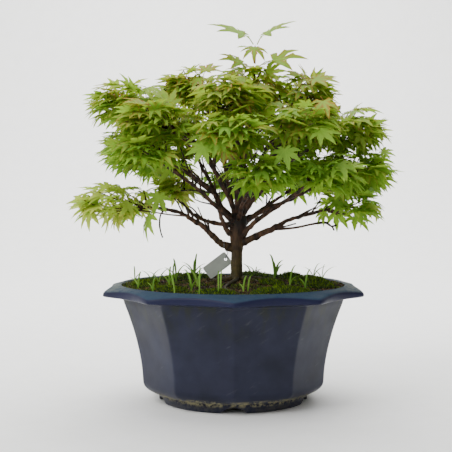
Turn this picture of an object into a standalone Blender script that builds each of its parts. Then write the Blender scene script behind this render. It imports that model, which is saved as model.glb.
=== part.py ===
"""A small-leaved maple bonsai in a ten-sided glazed pot, modelled as named solids in Blender 4.5.

Units are metres, +Z is up, and the tree's front faces -Y. The origin is the middle of the pot's
footprint, on the surface that the pot stands on. Azimuths are counted from the front, -Y,
towards +X, so the pot has one corner and one foot arch exactly at the front.
"""

import math

import bmesh
import bpy
from mathutils import Matrix, Vector

# ---------------------------------------------------------------- driving dimensions

GAP = 0.0004  # clearance kept between solids that touch in the real thing

POT_SIDES = 10
SIDE_STEPS = 5  # mesh steps along each side of the pot
POT_FLOOR_UNDERSIDE = 0.0095
POT_FLOOR_TOP = 0.0175
BODY_FOOT_RADIUS = 0.1234  # corner radius of the body just above its rounded base
BODY_FOOT_HEIGHT = 0.0285
BODY_NECK_RADIUS = 0.1490  # corner radius of the body where the lip springs from it
BODY_NECK_HEIGHT = 0.1347
BODY_FLARE = 1.7  # exponent of the trumpet flare between those two
WALL = 0.0085
RIDGE_RADIUS = 0.1504  # the lip's highest line, a circle
RIDGE_HEIGHT = 0.1538
LIP_CORNER_RADIUS = 0.176
LIP_FALL = 0.265  # how steeply the lip's top falls outwards
LIP_THICKNESS = 0.0068
SCALLOP = -0.88  # roundness of the lip's edge: below 0 the sides curve inwards
DRAIN_RADIUS = 0.020

FOOT_RING_INNER = 0.086
FOOT_RING_OUTER = 0.0985
FOOT_ARCHES = 5
FOOT_ARCH_WIDTH = 0.032
FOOT_ARCH_HEIGHT = 0.007

SOIL_CLEARANCE = 0.0009  # between the soil and the pot's inside
SOIL_EDGE_HEIGHT = 0.1508
SOIL_MOUND = 0.0072  # how far the soil rises round the trunk
SOIL_MOUND_REACH = 0.070

TRUNK_X = 0.0047
TRUNK_STUB_DEPTH = 0.022
TRUNK_STUB_RADIUS = 0.0093
LIMB_SIDES = 6

PAD_AROUND = 12
PAD_RINGS = 8


# ---------------------------------------------------------------- finishes

FINISHES = {
    # name: (red, green, blue, roughness)
    "blue_glaze": (0.035, 0.045, 0.090, 0.35),
    "soil": (0.045, 0.032, 0.022, 0.95),
    "moss": (0.090, 0.160, 0.020, 0.90),
    "bark": (0.090, 0.050, 0.032, 0.80),
    "maple_leaf": (0.180, 0.340, 0.040, 0.50),
    "grass": (0.160, 0.330, 0.045, 0.55),
    "label_plastic": (0.330, 0.360, 0.330, 0.45),
    "steel_wire": (0.300, 0.310, 0.320, 0.35),
    "mesh_plastic": (0.020, 0.020, 0.022, 0.60),
}


def finish(name):
    """The Principled material of that name, made once."""
    made = bpy.data.materials.get(name)
    if made:
        return made
    red, green, blue, roughness = FINISHES[name]
    made = bpy.data.materials.new(name)
    made.use_nodes = True
    shader = made.node_tree.nodes["Principled BSDF"]
    shader.inputs["Base Color"].default_value = (red, green, blue, 1.0)
    shader.inputs["Roughness"].default_value = roughness
    shader.inputs["Metallic"].default_value = 1.0 if name == "steel_wire" else 0.0
    return made


# ---------------------------------------------------------------- small mesh tools


def node_from(name, mesh_builder, finish_name, smooth_angle=math.radians(40)):
    """Turns a bmesh into one visible object, with its faces pointing out."""
    bmesh.ops.recalc_face_normals(mesh_builder, faces=mesh_builder.faces[:])
    mesh = bpy.data.meshes.new(name)
    mesh_builder.to_mesh(mesh)
    mesh_builder.free()
    mesh.shade_smooth()
    mesh.set_sharp_from_angle(angle=smooth_angle)
    mesh.materials.append(finish(finish_name))
    made = bpy.data.objects.new(name, mesh)
    bpy.context.scene.collection.objects.link(made)
    return made


def as_helper(helper, collection=None):
    """Hides an object that only cuts or joins others, and moves it to a collection if one is given."""
    helper.hide_render = True
    helper.display_type = "WIRE"
    if collection:
        bpy.context.scene.collection.objects.unlink(helper)
        collection.objects.link(helper)
    return helper


def boolean(target, operation, operand):
    """Adds an exact Boolean with an object, or with every object of a collection."""
    modifier = target.modifiers.new(operation.lower(), "BOOLEAN")
    modifier.operation = operation
    modifier.solver = "EXACT"
    if isinstance(operand, bpy.types.Collection):
        modifier.operand_type = "COLLECTION"
        modifier.collection = operand
    else:
        modifier.object = operand


def fuse(name, builders, finish_name):
    """Joins overlapping closed shapes into one body: the first is the node, the rest are helpers."""
    target = node_from(name, builders[0], finish_name)
    helpers = bpy.data.collections.new(name + "_pieces")
    bpy.context.scene.collection.children.link(helpers)
    for index, builder in enumerate(builders[1:]):
        as_helper(node_from(f"{name}_piece_{index}", builder, finish_name), helpers)
    boolean(target, "UNION", helpers)
    return target


def skin_rings(builder, rings, loop=False, caps=True):
    """Joins rings of equally many vertices with quads, closing the ends or the loop."""
    count = len(rings[0])
    pairs = list(zip(rings, rings[1:]))
    if loop:
        pairs.append((rings[-1], rings[0]))
    for low, high in pairs:
        for i in range(count):
            j = (i + 1) % count
            builder.faces.new((low[i], low[j], high[j], high[i]))
    if caps and not loop:
        builder.faces.new(list(reversed(rings[0])))
        builder.faces.new(rings[-1])


def smooth_route(points, steps):
    """Catmull-Rom points, each (x, y, z, radius), through the given ones, with steps per stretch."""
    held = [points[0], *points, points[-1]]
    route = []
    for i in range(1, len(held) - 2):
        before, here, after, beyond = held[i - 1 : i + 3]
        for step in range(steps):
            t = step / steps
            route.append(
                tuple(
                    0.5
                    * (
                        2 * p1
                        + (p2 - p0) * t
                        + (2 * p0 - 5 * p1 + 4 * p2 - p3) * t**2
                        + (3 * p1 - p0 - 3 * p2 + p3) * t**3
                    )
                    for p0, p1, p2, p3 in zip(before, here, after, beyond)
                )
            )
    route.append(points[-1])
    return route


def tube(points, steps=2, sides=LIMB_SIDES):
    """A closed tapered tube along (x, y, z, radius) points."""
    route = smooth_route(points, steps)
    places = [Vector(p[:3]) for p in route]
    builder = bmesh.new()
    rings = []
    across = Vector((0.31, 0.87, 0.38))
    for i, (place, point) in enumerate(zip(places, route)):
        ahead = places[min(i + 1, len(places) - 1)] - places[max(i - 1, 0)]
        ahead.normalize()
        across = (across - ahead * across.dot(ahead)).normalized()
        upward = ahead.cross(across)
        ring = []
        for k in range(sides):
            angle = math.tau * k / sides
            offset = across * math.cos(angle) + upward * math.sin(angle)
            ring.append(builder.verts.new(place + offset * point[3]))
        rings.append(ring)
    skin_rings(builder, rings)
    return builder


# ---------------------------------------------------------------- pot


def wall_radius(height):
    """Corner radius of the body's outside at a height."""
    share = (height - BODY_FOOT_HEIGHT) / (BODY_NECK_HEIGHT - BODY_FOOT_HEIGHT)
    flare = BODY_NECK_RADIUS - BODY_FOOT_RADIUS
    return BODY_FOOT_RADIUS + flare * max(share, 0.0) ** BODY_FLARE


def lip_top(radius):
    """Height of the lip's sloping top at a radius."""
    return RIDGE_HEIGHT - LIP_FALL * max(radius - RIDGE_RADIUS, 0.0)


def ring_radius(corner_radius, roundness, turn):
    """Radius of a ring at an azimuth. Roundness 1 is a circle, 0 a straight-sided polygon."""
    half = math.pi / POT_SIDES
    from_middle = (turn % (2 * half)) - half
    flat = corner_radius * math.cos(half) / math.cos(from_middle)
    return flat + roundness * (corner_radius - flat)


def pot_ring(builder, corner_radius, roundness, height):
    """One ring of the pot. Height is a number, or a function of the local radius."""
    ring = []
    for i in range(POT_SIDES * SIDE_STEPS):
        turn = math.tau * i / (POT_SIDES * SIDE_STEPS)
        radius = ring_radius(corner_radius, roundness, turn)
        z = height(radius) if callable(height) else height
        ring.append(builder.verts.new((radius * math.sin(turn), -radius * math.cos(turn), z)))
    return ring


def inside_rows(clearance):
    """(corner radius, roundness, height) down the pot's inside, drawn in by a clearance."""
    rows = [(wall_radius(z) - WALL - clearance, 0.25, z) for z in (0.135, 0.115, 0.085, 0.055, 0.032)]
    return [(0.1425 - clearance, 0.62, 0.1435), *rows]


def foot_arch_cutters():
    """Round cutters lying radially under the foot ring, as one helper."""
    half_width, rise = FOOT_ARCH_WIDTH / 2, FOOT_ARCH_HEIGHT
    radius = (half_width**2 + rise**2) / (2 * rise)
    reach = 0.034
    builder = bmesh.new()
    for i in range(FOOT_ARCHES):
        turn = math.tau * i / FOOT_ARCHES
        middle = Vector((math.sin(turn), -math.cos(turn), 0)) * 0.5 * (FOOT_RING_INNER + FOOT_RING_OUTER)
        middle.z = rise - radius
        along = Matrix.Rotation(turn, 4, "Z") @ Matrix.Rotation(math.pi / 2, 4, "X")
        bmesh.ops.create_cone(
            builder,
            cap_ends=True,
            segments=28,
            radius1=radius,
            radius2=radius,
            depth=reach,
            matrix=Matrix.Translation(middle) @ along,
        )
    return as_helper(node_from("foot_arch_cutters", builder, "blue_glaze"))


def make_pot():
    """The glazed pot: a closed loop of rings from the drain hole round the outside and back inside."""
    body_heights = [BODY_FOOT_HEIGHT + 0.0175 * i for i in range(1, 6)]
    underside = [
        (DRAIN_RADIUS, 1.0, POT_FLOOR_UNDERSIDE),
        (FOOT_RING_INNER, 1.0, POT_FLOOR_UNDERSIDE),
        (FOOT_RING_INNER + 0.002, 1.0, 0.0),
        (FOOT_RING_OUTER - 0.0015, 1.0, 0.0),
        (FOOT_RING_OUTER, 1.0, 0.0015),
        (FOOT_RING_OUTER + 0.0005, 1.0, 0.0115),
    ]
    turn_of_base = [
        (0.1075, 0.8, 0.0130),
        (0.1155, 0.4, 0.0172),
        (0.1212, 0.15, 0.0226),
        (BODY_FOOT_RADIUS, 0.0, BODY_FOOT_HEIGHT),
    ]
    body = [(wall_radius(z), 0.0, z) for z in [*body_heights, BODY_NECK_HEIGHT]]
    lip = [
        (0.1600, -0.4, lambda r: BODY_NECK_HEIGHT + 0.19 * (r - 0.1384)),
        (LIP_CORNER_RADIUS - 0.002, SCALLOP, lambda r: lip_top(r) - LIP_THICKNESS),
        (LIP_CORNER_RADIUS, SCALLOP, lambda r: lip_top(r) - 0.7 * LIP_THICKNESS),
        (LIP_CORNER_RADIUS, SCALLOP, lambda r: lip_top(r) - 0.25 * LIP_THICKNESS),
        (LIP_CORNER_RADIUS - 0.0022, SCALLOP, lip_top),
        (RIDGE_RADIUS + 0.0012, 1.0, RIDGE_HEIGHT - 0.0002),
        (RIDGE_RADIUS - 0.0016, 1.0, RIDGE_HEIGHT - 0.0004),
        (RIDGE_RADIUS - 0.0032, 1.0, RIDGE_HEIGHT - 0.0024),
    ]
    inside = inside_rows(0.0)
    floor = [(0.098, 0.9, POT_FLOOR_TOP), (DRAIN_RADIUS, 1.0, POT_FLOOR_TOP)]
    builder = bmesh.new()
    rows = [*underside, *turn_of_base, *body, *lip, *inside, *floor]
    skin_rings(builder, [pot_ring(builder, *row) for row in rows], loop=True)
    pot = node_from("pot", builder, "blue_glaze")
    boolean(pot, "DIFFERENCE", foot_arch_cutters())


# ---------------------------------------------------------------- drainage

MESH_SIDE = 0.056
MESH_CELLS = 9
MESH_THICKNESS = 0.0012
CLIP_RADIUS = 0.0008


def make_drainage_mesh():
    """A plastic screen over the drain hole: a square grid with every odd cell open."""
    cell = MESH_SIDE / MESH_CELLS
    low = POT_FLOOR_TOP + GAP
    builder = bmesh.new()
    columns = MESH_CELLS + 1
    verts = [
        builder.verts.new((i * cell - MESH_SIDE / 2, j * cell - MESH_SIDE / 2, low))
        for j in range(columns)
        for i in range(columns)
    ]
    for j in range(MESH_CELLS):
        for i in range(MESH_CELLS):
            if i % 2 and j % 2:
                continue
            corner = j * columns + i
            builder.faces.new(
                [verts[k] for k in (corner, corner + 1, corner + 1 + columns, corner + columns)]
            )
    screen = node_from("drainage_mesh", builder, "mesh_plastic")
    thick = screen.modifiers.new("thickness", "SOLIDIFY")
    thick.thickness = MESH_THICKNESS
    thick.offset = 1.0


def make_mesh_clip():
    """The bent wire that pins the screen: over its top, down the drain hole and out below."""
    leg = MESH_SIDE / MESH_CELLS  # the legs pass through the two open cells beside the middle
    low = POT_FLOOR_UNDERSIDE - GAP - CLIP_RADIUS
    high = POT_FLOOR_TOP + MESH_THICKNESS + 2 * GAP + CLIP_RADIUS
    side = [
        (0.027, low),
        (leg + 0.0022, low),
        (leg, low + 0.002),
        (leg, high - 0.0016),
        (leg - 0.0016, high),
    ]
    half = [(x, leg, z, CLIP_RADIUS) for x, z in side]
    route = half + [(-x, y, z, r) for x, y, z, r in reversed(half)]
    node_from("mesh_clip", tube(route, steps=1, sides=6), "steel_wire")


# ---------------------------------------------------------------- soil and moss


def ground(x, y):
    """Height of the soil's top."""
    from_trunk = math.hypot(x - TRUNK_X, y)
    mound = SOIL_MOUND * math.exp(-((from_trunk / SOIL_MOUND_REACH) ** 2))
    swell = 0.0016 * math.sin(x / 0.045) * math.cos(y / 0.060)
    edge = min(1.0, (RIDGE_RADIUS - math.hypot(x, y)) / 0.04)
    return SOIL_EDGE_HEIGHT + mound + swell * max(edge, 0.0)


def make_soil():
    """The growing mix: fills the pot's inside, rises round the trunk and clears the screen."""
    builder = bmesh.new()
    steps = POT_SIDES * SIDE_STEPS
    pocket = 0.0400  # the soil's underside steps up over the screen and its clip
    rings = [
        pot_ring(builder, 0.012, 1.0, POT_FLOOR_TOP + 0.0042),
        pot_ring(builder, pocket, 1.0, POT_FLOOR_TOP + 0.0042),
        pot_ring(builder, pocket + 0.001, 1.0, POT_FLOOR_TOP + GAP),
        pot_ring(builder, 0.0965, 0.9, POT_FLOOR_TOP + GAP),
    ]
    rings += [pot_ring(builder, *row) for row in reversed(inside_rows(SOIL_CLEARANCE))]
    edge = RIDGE_RADIUS - 0.0044
    for radius in (edge, 0.125, 0.100, 0.075, 0.050, 0.025):
        ring = []
        for i in range(steps):
            turn = math.tau * i / steps
            x, y = radius * math.sin(turn), -radius * math.cos(turn)
            ring.append(builder.verts.new((x, y, ground(x, y))))
        rings.append(ring)
    skin_rings(builder, rings, caps=False)
    for ring, height in ((rings[0], POT_FLOOR_TOP + 0.0042), (rings[-1], ground(0, 0))):
        middle = builder.verts.new((0, 0, height))
        for i in range(steps):
            builder.faces.new((ring[i], ring[(i + 1) % steps], middle))
    soil = node_from("soil", builder, "soil")
    cutter = bmesh.new()
    bmesh.ops.create_cone(
        cutter,
        cap_ends=True,
        segments=20,
        radius1=TRUNK_STUB_RADIUS + 2 * GAP,
        radius2=TRUNK_STUB_RADIUS + 2 * GAP,
        depth=0.06,
        matrix=Matrix.Translation((TRUNK_X, 0, ground(TRUNK_X, 0) - TRUNK_STUB_DEPTH - GAP + 0.03)),
    )
    boolean(soil, "DIFFERENCE", as_helper(node_from("trunk_pocket_cutter", cutter, "soil")))


MOSS_PATCHES = {
    # name: (x, y, half width along x, half width along y, turn in degrees, height)
    "moss_right": (0.104, -0.012, 0.030, 0.052, 8, 0.0085),
    "moss_front_right": (0.060, -0.098, 0.042, 0.026, 24, 0.0050),
    "moss_front": (-0.022, -0.118, 0.028, 0.017, -10, 0.0040),
    "moss_front_left": (-0.082, -0.080, 0.030, 0.020, -42, 0.0050),
    "moss_left": (-0.116, -0.002, 0.020, 0.042, -4, 0.0055),
    "moss_back_left": (-0.064, 0.086, 0.044, 0.028, 30, 0.0060),
    "moss_back": (0.028, 0.112, 0.034, 0.022, -8, 0.0065),
    "moss_back_right": (0.082, 0.074, 0.026, 0.020, -40, 0.0075),
    "moss_beside_trunk": (0.050, -0.034, 0.017, 0.020, 35, 0.0040),
}
MOSS_AROUND = 16
MOSS_RINGS = 3


def moss_outline(turn, seed):
    """A gently lobed outline, as a share of the patch's half widths."""
    return 0.90 + 0.06 * math.sin(3 * turn + seed) + 0.04 * math.sin(5 * turn + 2.3 * seed)


def make_moss(name, x, y, half_x, half_y, turn_deg, height):
    """A low cushion of moss that follows the soil under it."""
    seed = 7.0 * x + 11.0 * y
    lean = math.radians(turn_deg)
    builder = bmesh.new()

    def level(share, lift):
        ring = []
        for i in range(MOSS_AROUND):
            turn = math.tau * i / MOSS_AROUND
            reach = share * moss_outline(turn, 40 * seed)
            u, v = reach * half_x * math.cos(turn), reach * half_y * math.sin(turn)
            px = x + u * math.cos(lean) - v * math.sin(lean)
            py = y + u * math.sin(lean) + v * math.cos(lean)
            ring.append(builder.verts.new((px, py, ground(px, py) + lift)))
        return ring

    base = 1.5 * GAP
    rings = [level(k / MOSS_RINGS, base) for k in range(1, MOSS_RINGS + 1)]
    tops = [level(1.0, base + 0.0012)]
    for k in range(MOSS_RINGS - 1, 0, -1):
        share = k / MOSS_RINGS
        tops.append(level(share, base + 0.0012 + height * (1 - share**2.6)))
    rings += tops
    skin_rings(builder, rings, caps=False)
    ends = ((rings[0], base), (rings[-1], base + 0.0012 + height))
    for ring, lift in ends:
        middle = builder.verts.new((x, y, ground(x, y) + lift))
        for i in range(MOSS_AROUND):
            builder.faces.new((ring[i], ring[(i + 1) % MOSS_AROUND], middle))
    node_from(name, builder, "moss")


# ---------------------------------------------------------------- leaf sprays

SPRAYS = {
    # name: (middle x, y, z), (half sizes x, y, z)
    "leaves_top": ((0.026, -0.008, 0.422), (0.046, 0.044, 0.021)),
    "leaves_top_left": ((-0.050, 0.004, 0.416), (0.048, 0.050, 0.025)),
    "leaves_top_back": ((0.012, 0.082, 0.404), (0.056, 0.048, 0.028)),
    "leaves_top_front": ((-0.004, -0.082, 0.396), (0.054, 0.044, 0.028)),
    "leaves_top_right": ((0.088, 0.010, 0.408), (0.048, 0.050, 0.026)),
    "leaves_upper_left": ((-0.128, -0.004, 0.394), (0.059, 0.050, 0.029)),
    "leaves_upper_left_front": ((-0.088, -0.084, 0.368), (0.054, 0.048, 0.030)),
    "leaves_upper_left_back": ((-0.080, 0.088, 0.372), (0.058, 0.050, 0.031)),
    "leaves_upper_front": ((-0.002, -0.130, 0.348), (0.050, 0.038, 0.029)),
    "leaves_upper_right_front": ((0.080, -0.090, 0.362), (0.054, 0.048, 0.031)),
    "leaves_upper_right": ((0.148, 0.004, 0.358), (0.052, 0.052, 0.031)),
    "leaves_upper_right_back": ((0.088, 0.090, 0.360), (0.054, 0.050, 0.032)),
    "leaves_upper_back": ((0.000, 0.134, 0.348), (0.050, 0.038, 0.031)),
    "leaves_middle_left": ((-0.124, -0.018, 0.334), (0.048, 0.050, 0.029)),
    "leaves_middle_left_front": ((-0.108, -0.104, 0.324), (0.042, 0.038, 0.021)),
    "leaves_middle_front": ((0.032, -0.128, 0.301), (0.042, 0.036, 0.023)),
    "leaves_middle_right_front": ((0.112, -0.100, 0.300), (0.046, 0.042, 0.027)),
    "leaves_middle_right": ((0.160, -0.002, 0.304), (0.050, 0.052, 0.028)),
    "leaves_middle_right_back": ((0.108, 0.088, 0.300), (0.050, 0.044, 0.029)),
    "leaves_middle_back": ((0.006, 0.132, 0.290), (0.050, 0.038, 0.026)),
    "leaves_middle_left_back": ((-0.096, 0.090, 0.318), (0.048, 0.044, 0.023)),
    "leaves_low_left": ((-0.152, -0.012, 0.262), (0.058, 0.044, 0.023)),
    "leaves_low_left_inner": ((-0.072, 0.006, 0.281), (0.027, 0.028, 0.014)),
    "leaves_low_right": ((0.148, -0.030, 0.260), (0.046, 0.042, 0.017)),
}


def spray_reach(name, direction):
    """How far a spray's solid reaches from its middle in a unit direction.

    A spray is an ellipsoid cut off midway towards each neighbour, so that no two overlap.
    """
    middle, half = (Vector(v) for v in SPRAYS[name])
    reach = 1.0 / math.sqrt(sum((direction[k] / half[k]) ** 2 for k in range(3)))
    for other, (other_middle, other_half) in SPRAYS.items():
        if other == name:
            continue
        across = Vector(other_middle) - middle
        apart = across.length
        across.normalize()
        toward = direction.dot(across)
        if toward <= 0:
            continue
        own = 1.0 / math.sqrt(sum((across[k] / half[k]) ** 2 for k in range(3)))
        theirs = 1.0 / math.sqrt(sum((across[k] / other_half[k]) ** 2 for k in range(3)))
        plane = apart * own / (own + theirs) - GAP
        reach = min(reach, plane / toward)
    return reach


def make_spray(name):
    """The closed solid that a spray of leaves and its twigs fill."""
    middle = Vector(SPRAYS[name][0])
    builder = bmesh.new()
    rings = []
    for k in range(1, PAD_RINGS):
        polar = math.pi * k / PAD_RINGS
        ring = []
        for i in range(PAD_AROUND):
            turn = math.tau * i / PAD_AROUND
            direction = Vector(
                (math.sin(polar) * math.cos(turn), math.sin(polar) * math.sin(turn), -math.cos(polar))
            )
            ring.append(builder.verts.new(middle + direction * spray_reach(name, direction)))
        rings.append(ring)
    skin_rings(builder, rings, caps=False)
    for ring, direction in ((rings[0], Vector((0, 0, -1))), (rings[-1], Vector((0, 0, 1)))):
        pole = builder.verts.new(middle + direction * spray_reach(name, direction))
        for i in range(PAD_AROUND):
            builder.faces.new((ring[i], ring[(i + 1) % PAD_AROUND], pole))
    node_from(name, builder, "maple_leaf", smooth_angle=math.radians(60))


# ---------------------------------------------------------------- wood

TRUNK = [
    (TRUNK_X, 0.0, 0.1580 - TRUNK_STUB_DEPTH, TRUNK_STUB_RADIUS),
    (TRUNK_X, 0.0, 0.1580, TRUNK_STUB_RADIUS),
    (TRUNK_X, 0.0, 0.1660, 0.0084),
    (0.0046, 0.0, 0.1800, 0.0078),
    (0.0050, 0.0, 0.1950, 0.0079),
    (0.0052, 0.0, 0.2060, 0.0092),
    (0.0056, 0.0, 0.2180, 0.0112),
    (0.0066, 0.0, 0.2320, 0.0116),
    (0.0072, 0.0, 0.2460, 0.0092),
    (0.0074, 0.0, 0.2540, 0.0060),
]

LIMBS = {
    # name: (points (x, y, z, radius), spray that it carries or None)
    "low_left": (
        [
            (0.001, 0.000, 0.1985, 0.0054),
            (-0.0158, -0.001, 0.2062, 0.0046),
            (-0.0273, -0.002, 0.2165, 0.0042),
            (-0.0393, -0.004, 0.2287, 0.0038),
            (-0.0566, -0.006, 0.2395, 0.0032),
            (-0.0720, -0.008, 0.2480, 0.0027),
        ],
        "leaves_low_left",
    ),
    "low_left_second": (
        [
            (0.002, 0.004, 0.2320, 0.0036),
            (-0.021, 0.008, 0.2325, 0.0033),
            (-0.045, 0.010, 0.2395, 0.0028),
            (-0.062, 0.010, 0.2520, 0.0024),
        ],
        "leaves_low_left_inner",
    ),
    "rising_left": (
        [
            (0.001, -0.003, 0.2140, 0.0042),
            (-0.012, -0.007, 0.2300, 0.0037),
            (-0.018, -0.009, 0.2500, 0.0034),
            (-0.024, -0.010, 0.2700, 0.0033),
            (-0.040, -0.012, 0.2850, 0.0030),
            (-0.066, -0.014, 0.3030, 0.0024),
        ],
        "leaves_middle_left",
    ),
    "upper_left": (
        [
            (0.001, 0.002, 0.2400, 0.0036),
            (-0.014, 0.002, 0.2540, 0.0030),
            (-0.026, 0.001, 0.2780, 0.0028),
            (-0.039, 0.000, 0.3030, 0.0026),
            (-0.060, -0.001, 0.3380, 0.0022),
        ],
        "leaves_upper_left",
    ),
    "inner_left": (
        [
            (0.003, 0.002, 0.2480, 0.0038),
            (-0.003, 0.003, 0.2660, 0.0032),
            (-0.009, 0.003, 0.3000, 0.0026),
            (-0.020, 0.003, 0.3500, 0.0021),
        ],
        "leaves_top_left",
    ),
    "leader": (
        [
            (0.007, 0.000, 0.2480, 0.0046),
            (0.011, 0.000, 0.2850, 0.0036),
            (0.017, -0.001, 0.3300, 0.0028),
            (0.023, -0.003, 0.3750, 0.0020),
        ],
        "leaves_top",
    ),
    "rising_right": (
        [
            (0.012, 0.002, 0.2440, 0.0042),
            (0.026, 0.003, 0.2635, 0.0036),
            (0.041, 0.003, 0.2800, 0.0033),
            (0.068, 0.003, 0.3100, 0.0026),
        ],
        "leaves_upper_right",
    ),
    "top_right": (
        [
            (0.010, 0.004, 0.2460, 0.0038),
            (0.022, 0.008, 0.2800, 0.0030),
            (0.040, 0.010, 0.3250, 0.0024),
        ],
        "leaves_top_right",
    ),
    "middle_right": (
        [
            (0.012, 0.004, 0.2360, 0.0040),
            (0.046, 0.008, 0.2520, 0.0034),
            (0.077, 0.006, 0.2650, 0.0028),
            (0.106, 0.002, 0.2800, 0.0023),
        ],
        "leaves_middle_right",
    ),
    "crossing_right": (
        [
            (0.010, -0.003, 0.2140, 0.0044),
            (0.026, -0.014, 0.2330, 0.0038),
            (0.048, -0.032, 0.2500, 0.0032),
            (0.074, -0.058, 0.2690, 0.0026),
        ],
        "leaves_middle_right_front",
    ),
    "low_right": (
        [
            (0.008, -0.001, 0.2060, 0.0056),
            (0.027, -0.005, 0.2140, 0.0050),
            (0.054, -0.010, 0.2268, 0.0042),
            (0.070, -0.013, 0.2360, 0.0033),
            (0.090, -0.020, 0.2430, 0.0026),
        ],
        "leaves_low_right",
    ),
    "front_right": (
        [
            (0.010, -0.004, 0.2420, 0.0036),
            (0.026, -0.024, 0.2780, 0.0028),
            (0.044, -0.048, 0.3160, 0.0022),
        ],
        "leaves_upper_right_front",
    ),
    "front": (
        [
            (0.007, -0.005, 0.2360, 0.0038),
            (0.011, -0.032, 0.2560, 0.0030),
            (0.018, -0.066, 0.2730, 0.0025),
        ],
        "leaves_middle_front",
    ),
    "front_high": (
        [
            (0.006, -0.004, 0.2440, 0.0036),
            (0.003, -0.030, 0.2860, 0.0028),
            (0.000, -0.066, 0.3180, 0.0022),
        ],
        "leaves_upper_front",
    ),
    "top_front": (
        [
            (0.006, -0.002, 0.2500, 0.0034),
            (0.002, -0.018, 0.3000, 0.0026),
            (-0.002, -0.042, 0.3460, 0.0020),
        ],
        "leaves_top_front",
    ),
    "front_left": (
        [
            (0.003, -0.004, 0.2340, 0.0038),
            (-0.022, -0.026, 0.2560, 0.0031),
            (-0.052, -0.054, 0.2840, 0.0025),
        ],
        "leaves_middle_left_front",
    ),
    "front_left_high": (
        [
            (0.004, -0.003, 0.2460, 0.0035),
            (-0.016, -0.024, 0.2860, 0.0028),
            (-0.042, -0.048, 0.3280, 0.0022),
        ],
        "leaves_upper_left_front",
    ),
    "back_left": (
        [
            (0.003, 0.004, 0.2330, 0.0040),
            (-0.022, 0.028, 0.2550, 0.0032),
            (-0.052, 0.054, 0.2790, 0.0025),
        ],
        "leaves_middle_left_back",
    ),
    "back_left_high": (
        [
            (0.004, 0.003, 0.2460, 0.0036),
            (-0.016, 0.026, 0.2900, 0.0028),
            (-0.040, 0.050, 0.3320, 0.0022),
        ],
        "leaves_upper_left_back",
    ),
    "back": (
        [
            (0.007, 0.005, 0.2300, 0.0040),
            (0.007, 0.036, 0.2500, 0.0031),
            (0.007, 0.076, 0.2680, 0.0025),
        ],
        "leaves_middle_back",
    ),
    "back_high": (
        [
            (0.007, 0.004, 0.2440, 0.0035),
            (0.005, 0.034, 0.2860, 0.0028),
            (0.002, 0.070, 0.3160, 0.0022),
        ],
        "leaves_upper_back",
    ),
    "top_back": (
        [
            (0.008, 0.002, 0.2500, 0.0034),
            (0.010, 0.018, 0.3020, 0.0026),
            (0.011, 0.042, 0.3500, 0.0020),
        ],
        "leaves_top_back",
    ),
    "back_right": (
        [
            (0.010, 0.004, 0.2280, 0.0042),
            (0.036, 0.030, 0.2480, 0.0033),
            (0.066, 0.056, 0.2680, 0.0026),
        ],
        "leaves_middle_right_back",
    ),
    "back_right_high": (
        [
            (0.010, 0.003, 0.2440, 0.0036),
            (0.026, 0.028, 0.2820, 0.0028),
            (0.048, 0.052, 0.3160, 0.0022),
        ],
        "leaves_upper_right_back",
    ),
    "dead_twig_right": (
        [
            (0.052, -0.010, 0.2255, 0.0020),
            (0.085, -0.013, 0.2270, 0.0014),
            (0.117, -0.014, 0.2335, 0.0013),
            (0.136, -0.015, 0.2310, 0.0011),
        ],
        None,
    ),
    "dead_twig_fork": (
        [(0.124, -0.014, 0.2330, 0.0010), (0.130, -0.014, 0.2290, 0.0010), (0.133, -0.014, 0.2235, 0.0009)],
        None,
    ),
    "stub_right": (
        [(0.056, -0.011, 0.2270, 0.0018), (0.070, -0.018, 0.2300, 0.0014), (0.082, -0.022, 0.2335, 0.0012)],
        None,
    ),
    "dead_twig_left": (
        [
            (-0.092, -0.008, 0.2490, 0.0016),
            (-0.097, -0.012, 0.2380, 0.0012),
            (-0.097, -0.013, 0.2250, 0.0012),
            (-0.093, -0.013, 0.2145, 0.0010),
        ],
        None,
    ),
    "snag_left": (
        [
            (-0.022, -0.010, 0.2730, 0.0022),
            (-0.040, -0.018, 0.2750, 0.0016),
            (-0.060, -0.022, 0.2800, 0.0012),
        ],
        None,
    ),
}

ROOTS = {
    # name: azimuth in degrees from the front, length, start radius
    "root_front": (-4, 0.104, 0.0036),
    "root_front_right": (50, 0.040, 0.0034),
    "root_right": (100, 0.046, 0.0038),
    "root_back": (165, 0.052, 0.0036),
    "root_back_left": (225, 0.044, 0.0034),
    "root_left": (290, 0.040, 0.0036),
}


def limb_tip(spray, last, radius):
    """Where a limb meets the underside of its spray, just clear of it."""
    middle = Vector(SPRAYS[spray][0])
    back = (Vector(last[:3]) - middle).normalized()
    tip = middle + back * (spray_reach(spray, back) + radius + 2 * GAP)
    return (*tip, radius)


def root_points(azimuth_deg, length, radius):
    """A surface root: lies on the soil and wanders a little as it thins."""
    turn = math.radians(azimuth_deg)
    points = []
    for share in (0.04, 0.2, 0.42, 0.7, 1.0):
        bend = turn + 0.16 * math.sin(4.2 * share + azimuth_deg)
        x = TRUNK_X + length * share * math.sin(bend)
        y = -length * share * math.cos(bend)
        thick = radius * (1 - 0.68 * share)
        points.append((x, y, ground(x, y) + thick + 1.5 * GAP, thick))
    return points


def make_wood():
    """Trunk, limbs, twigs and surface roots, grown as one solid."""
    builders = [tube(TRUNK, steps=1, sides=10)]
    for points, spray in LIMBS.values():
        route = list(points)
        if spray:
            route.append(limb_tip(spray, route[-1], 0.8 * route[-1][3]))
        builders.append(tube(route))
    for azimuth, length, radius in ROOTS.values():
        builders.append(tube(root_points(azimuth, length, radius)))
    fuse("trunk_and_branches", builders, "bark")


# ---------------------------------------------------------------- single leaves at the top

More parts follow.
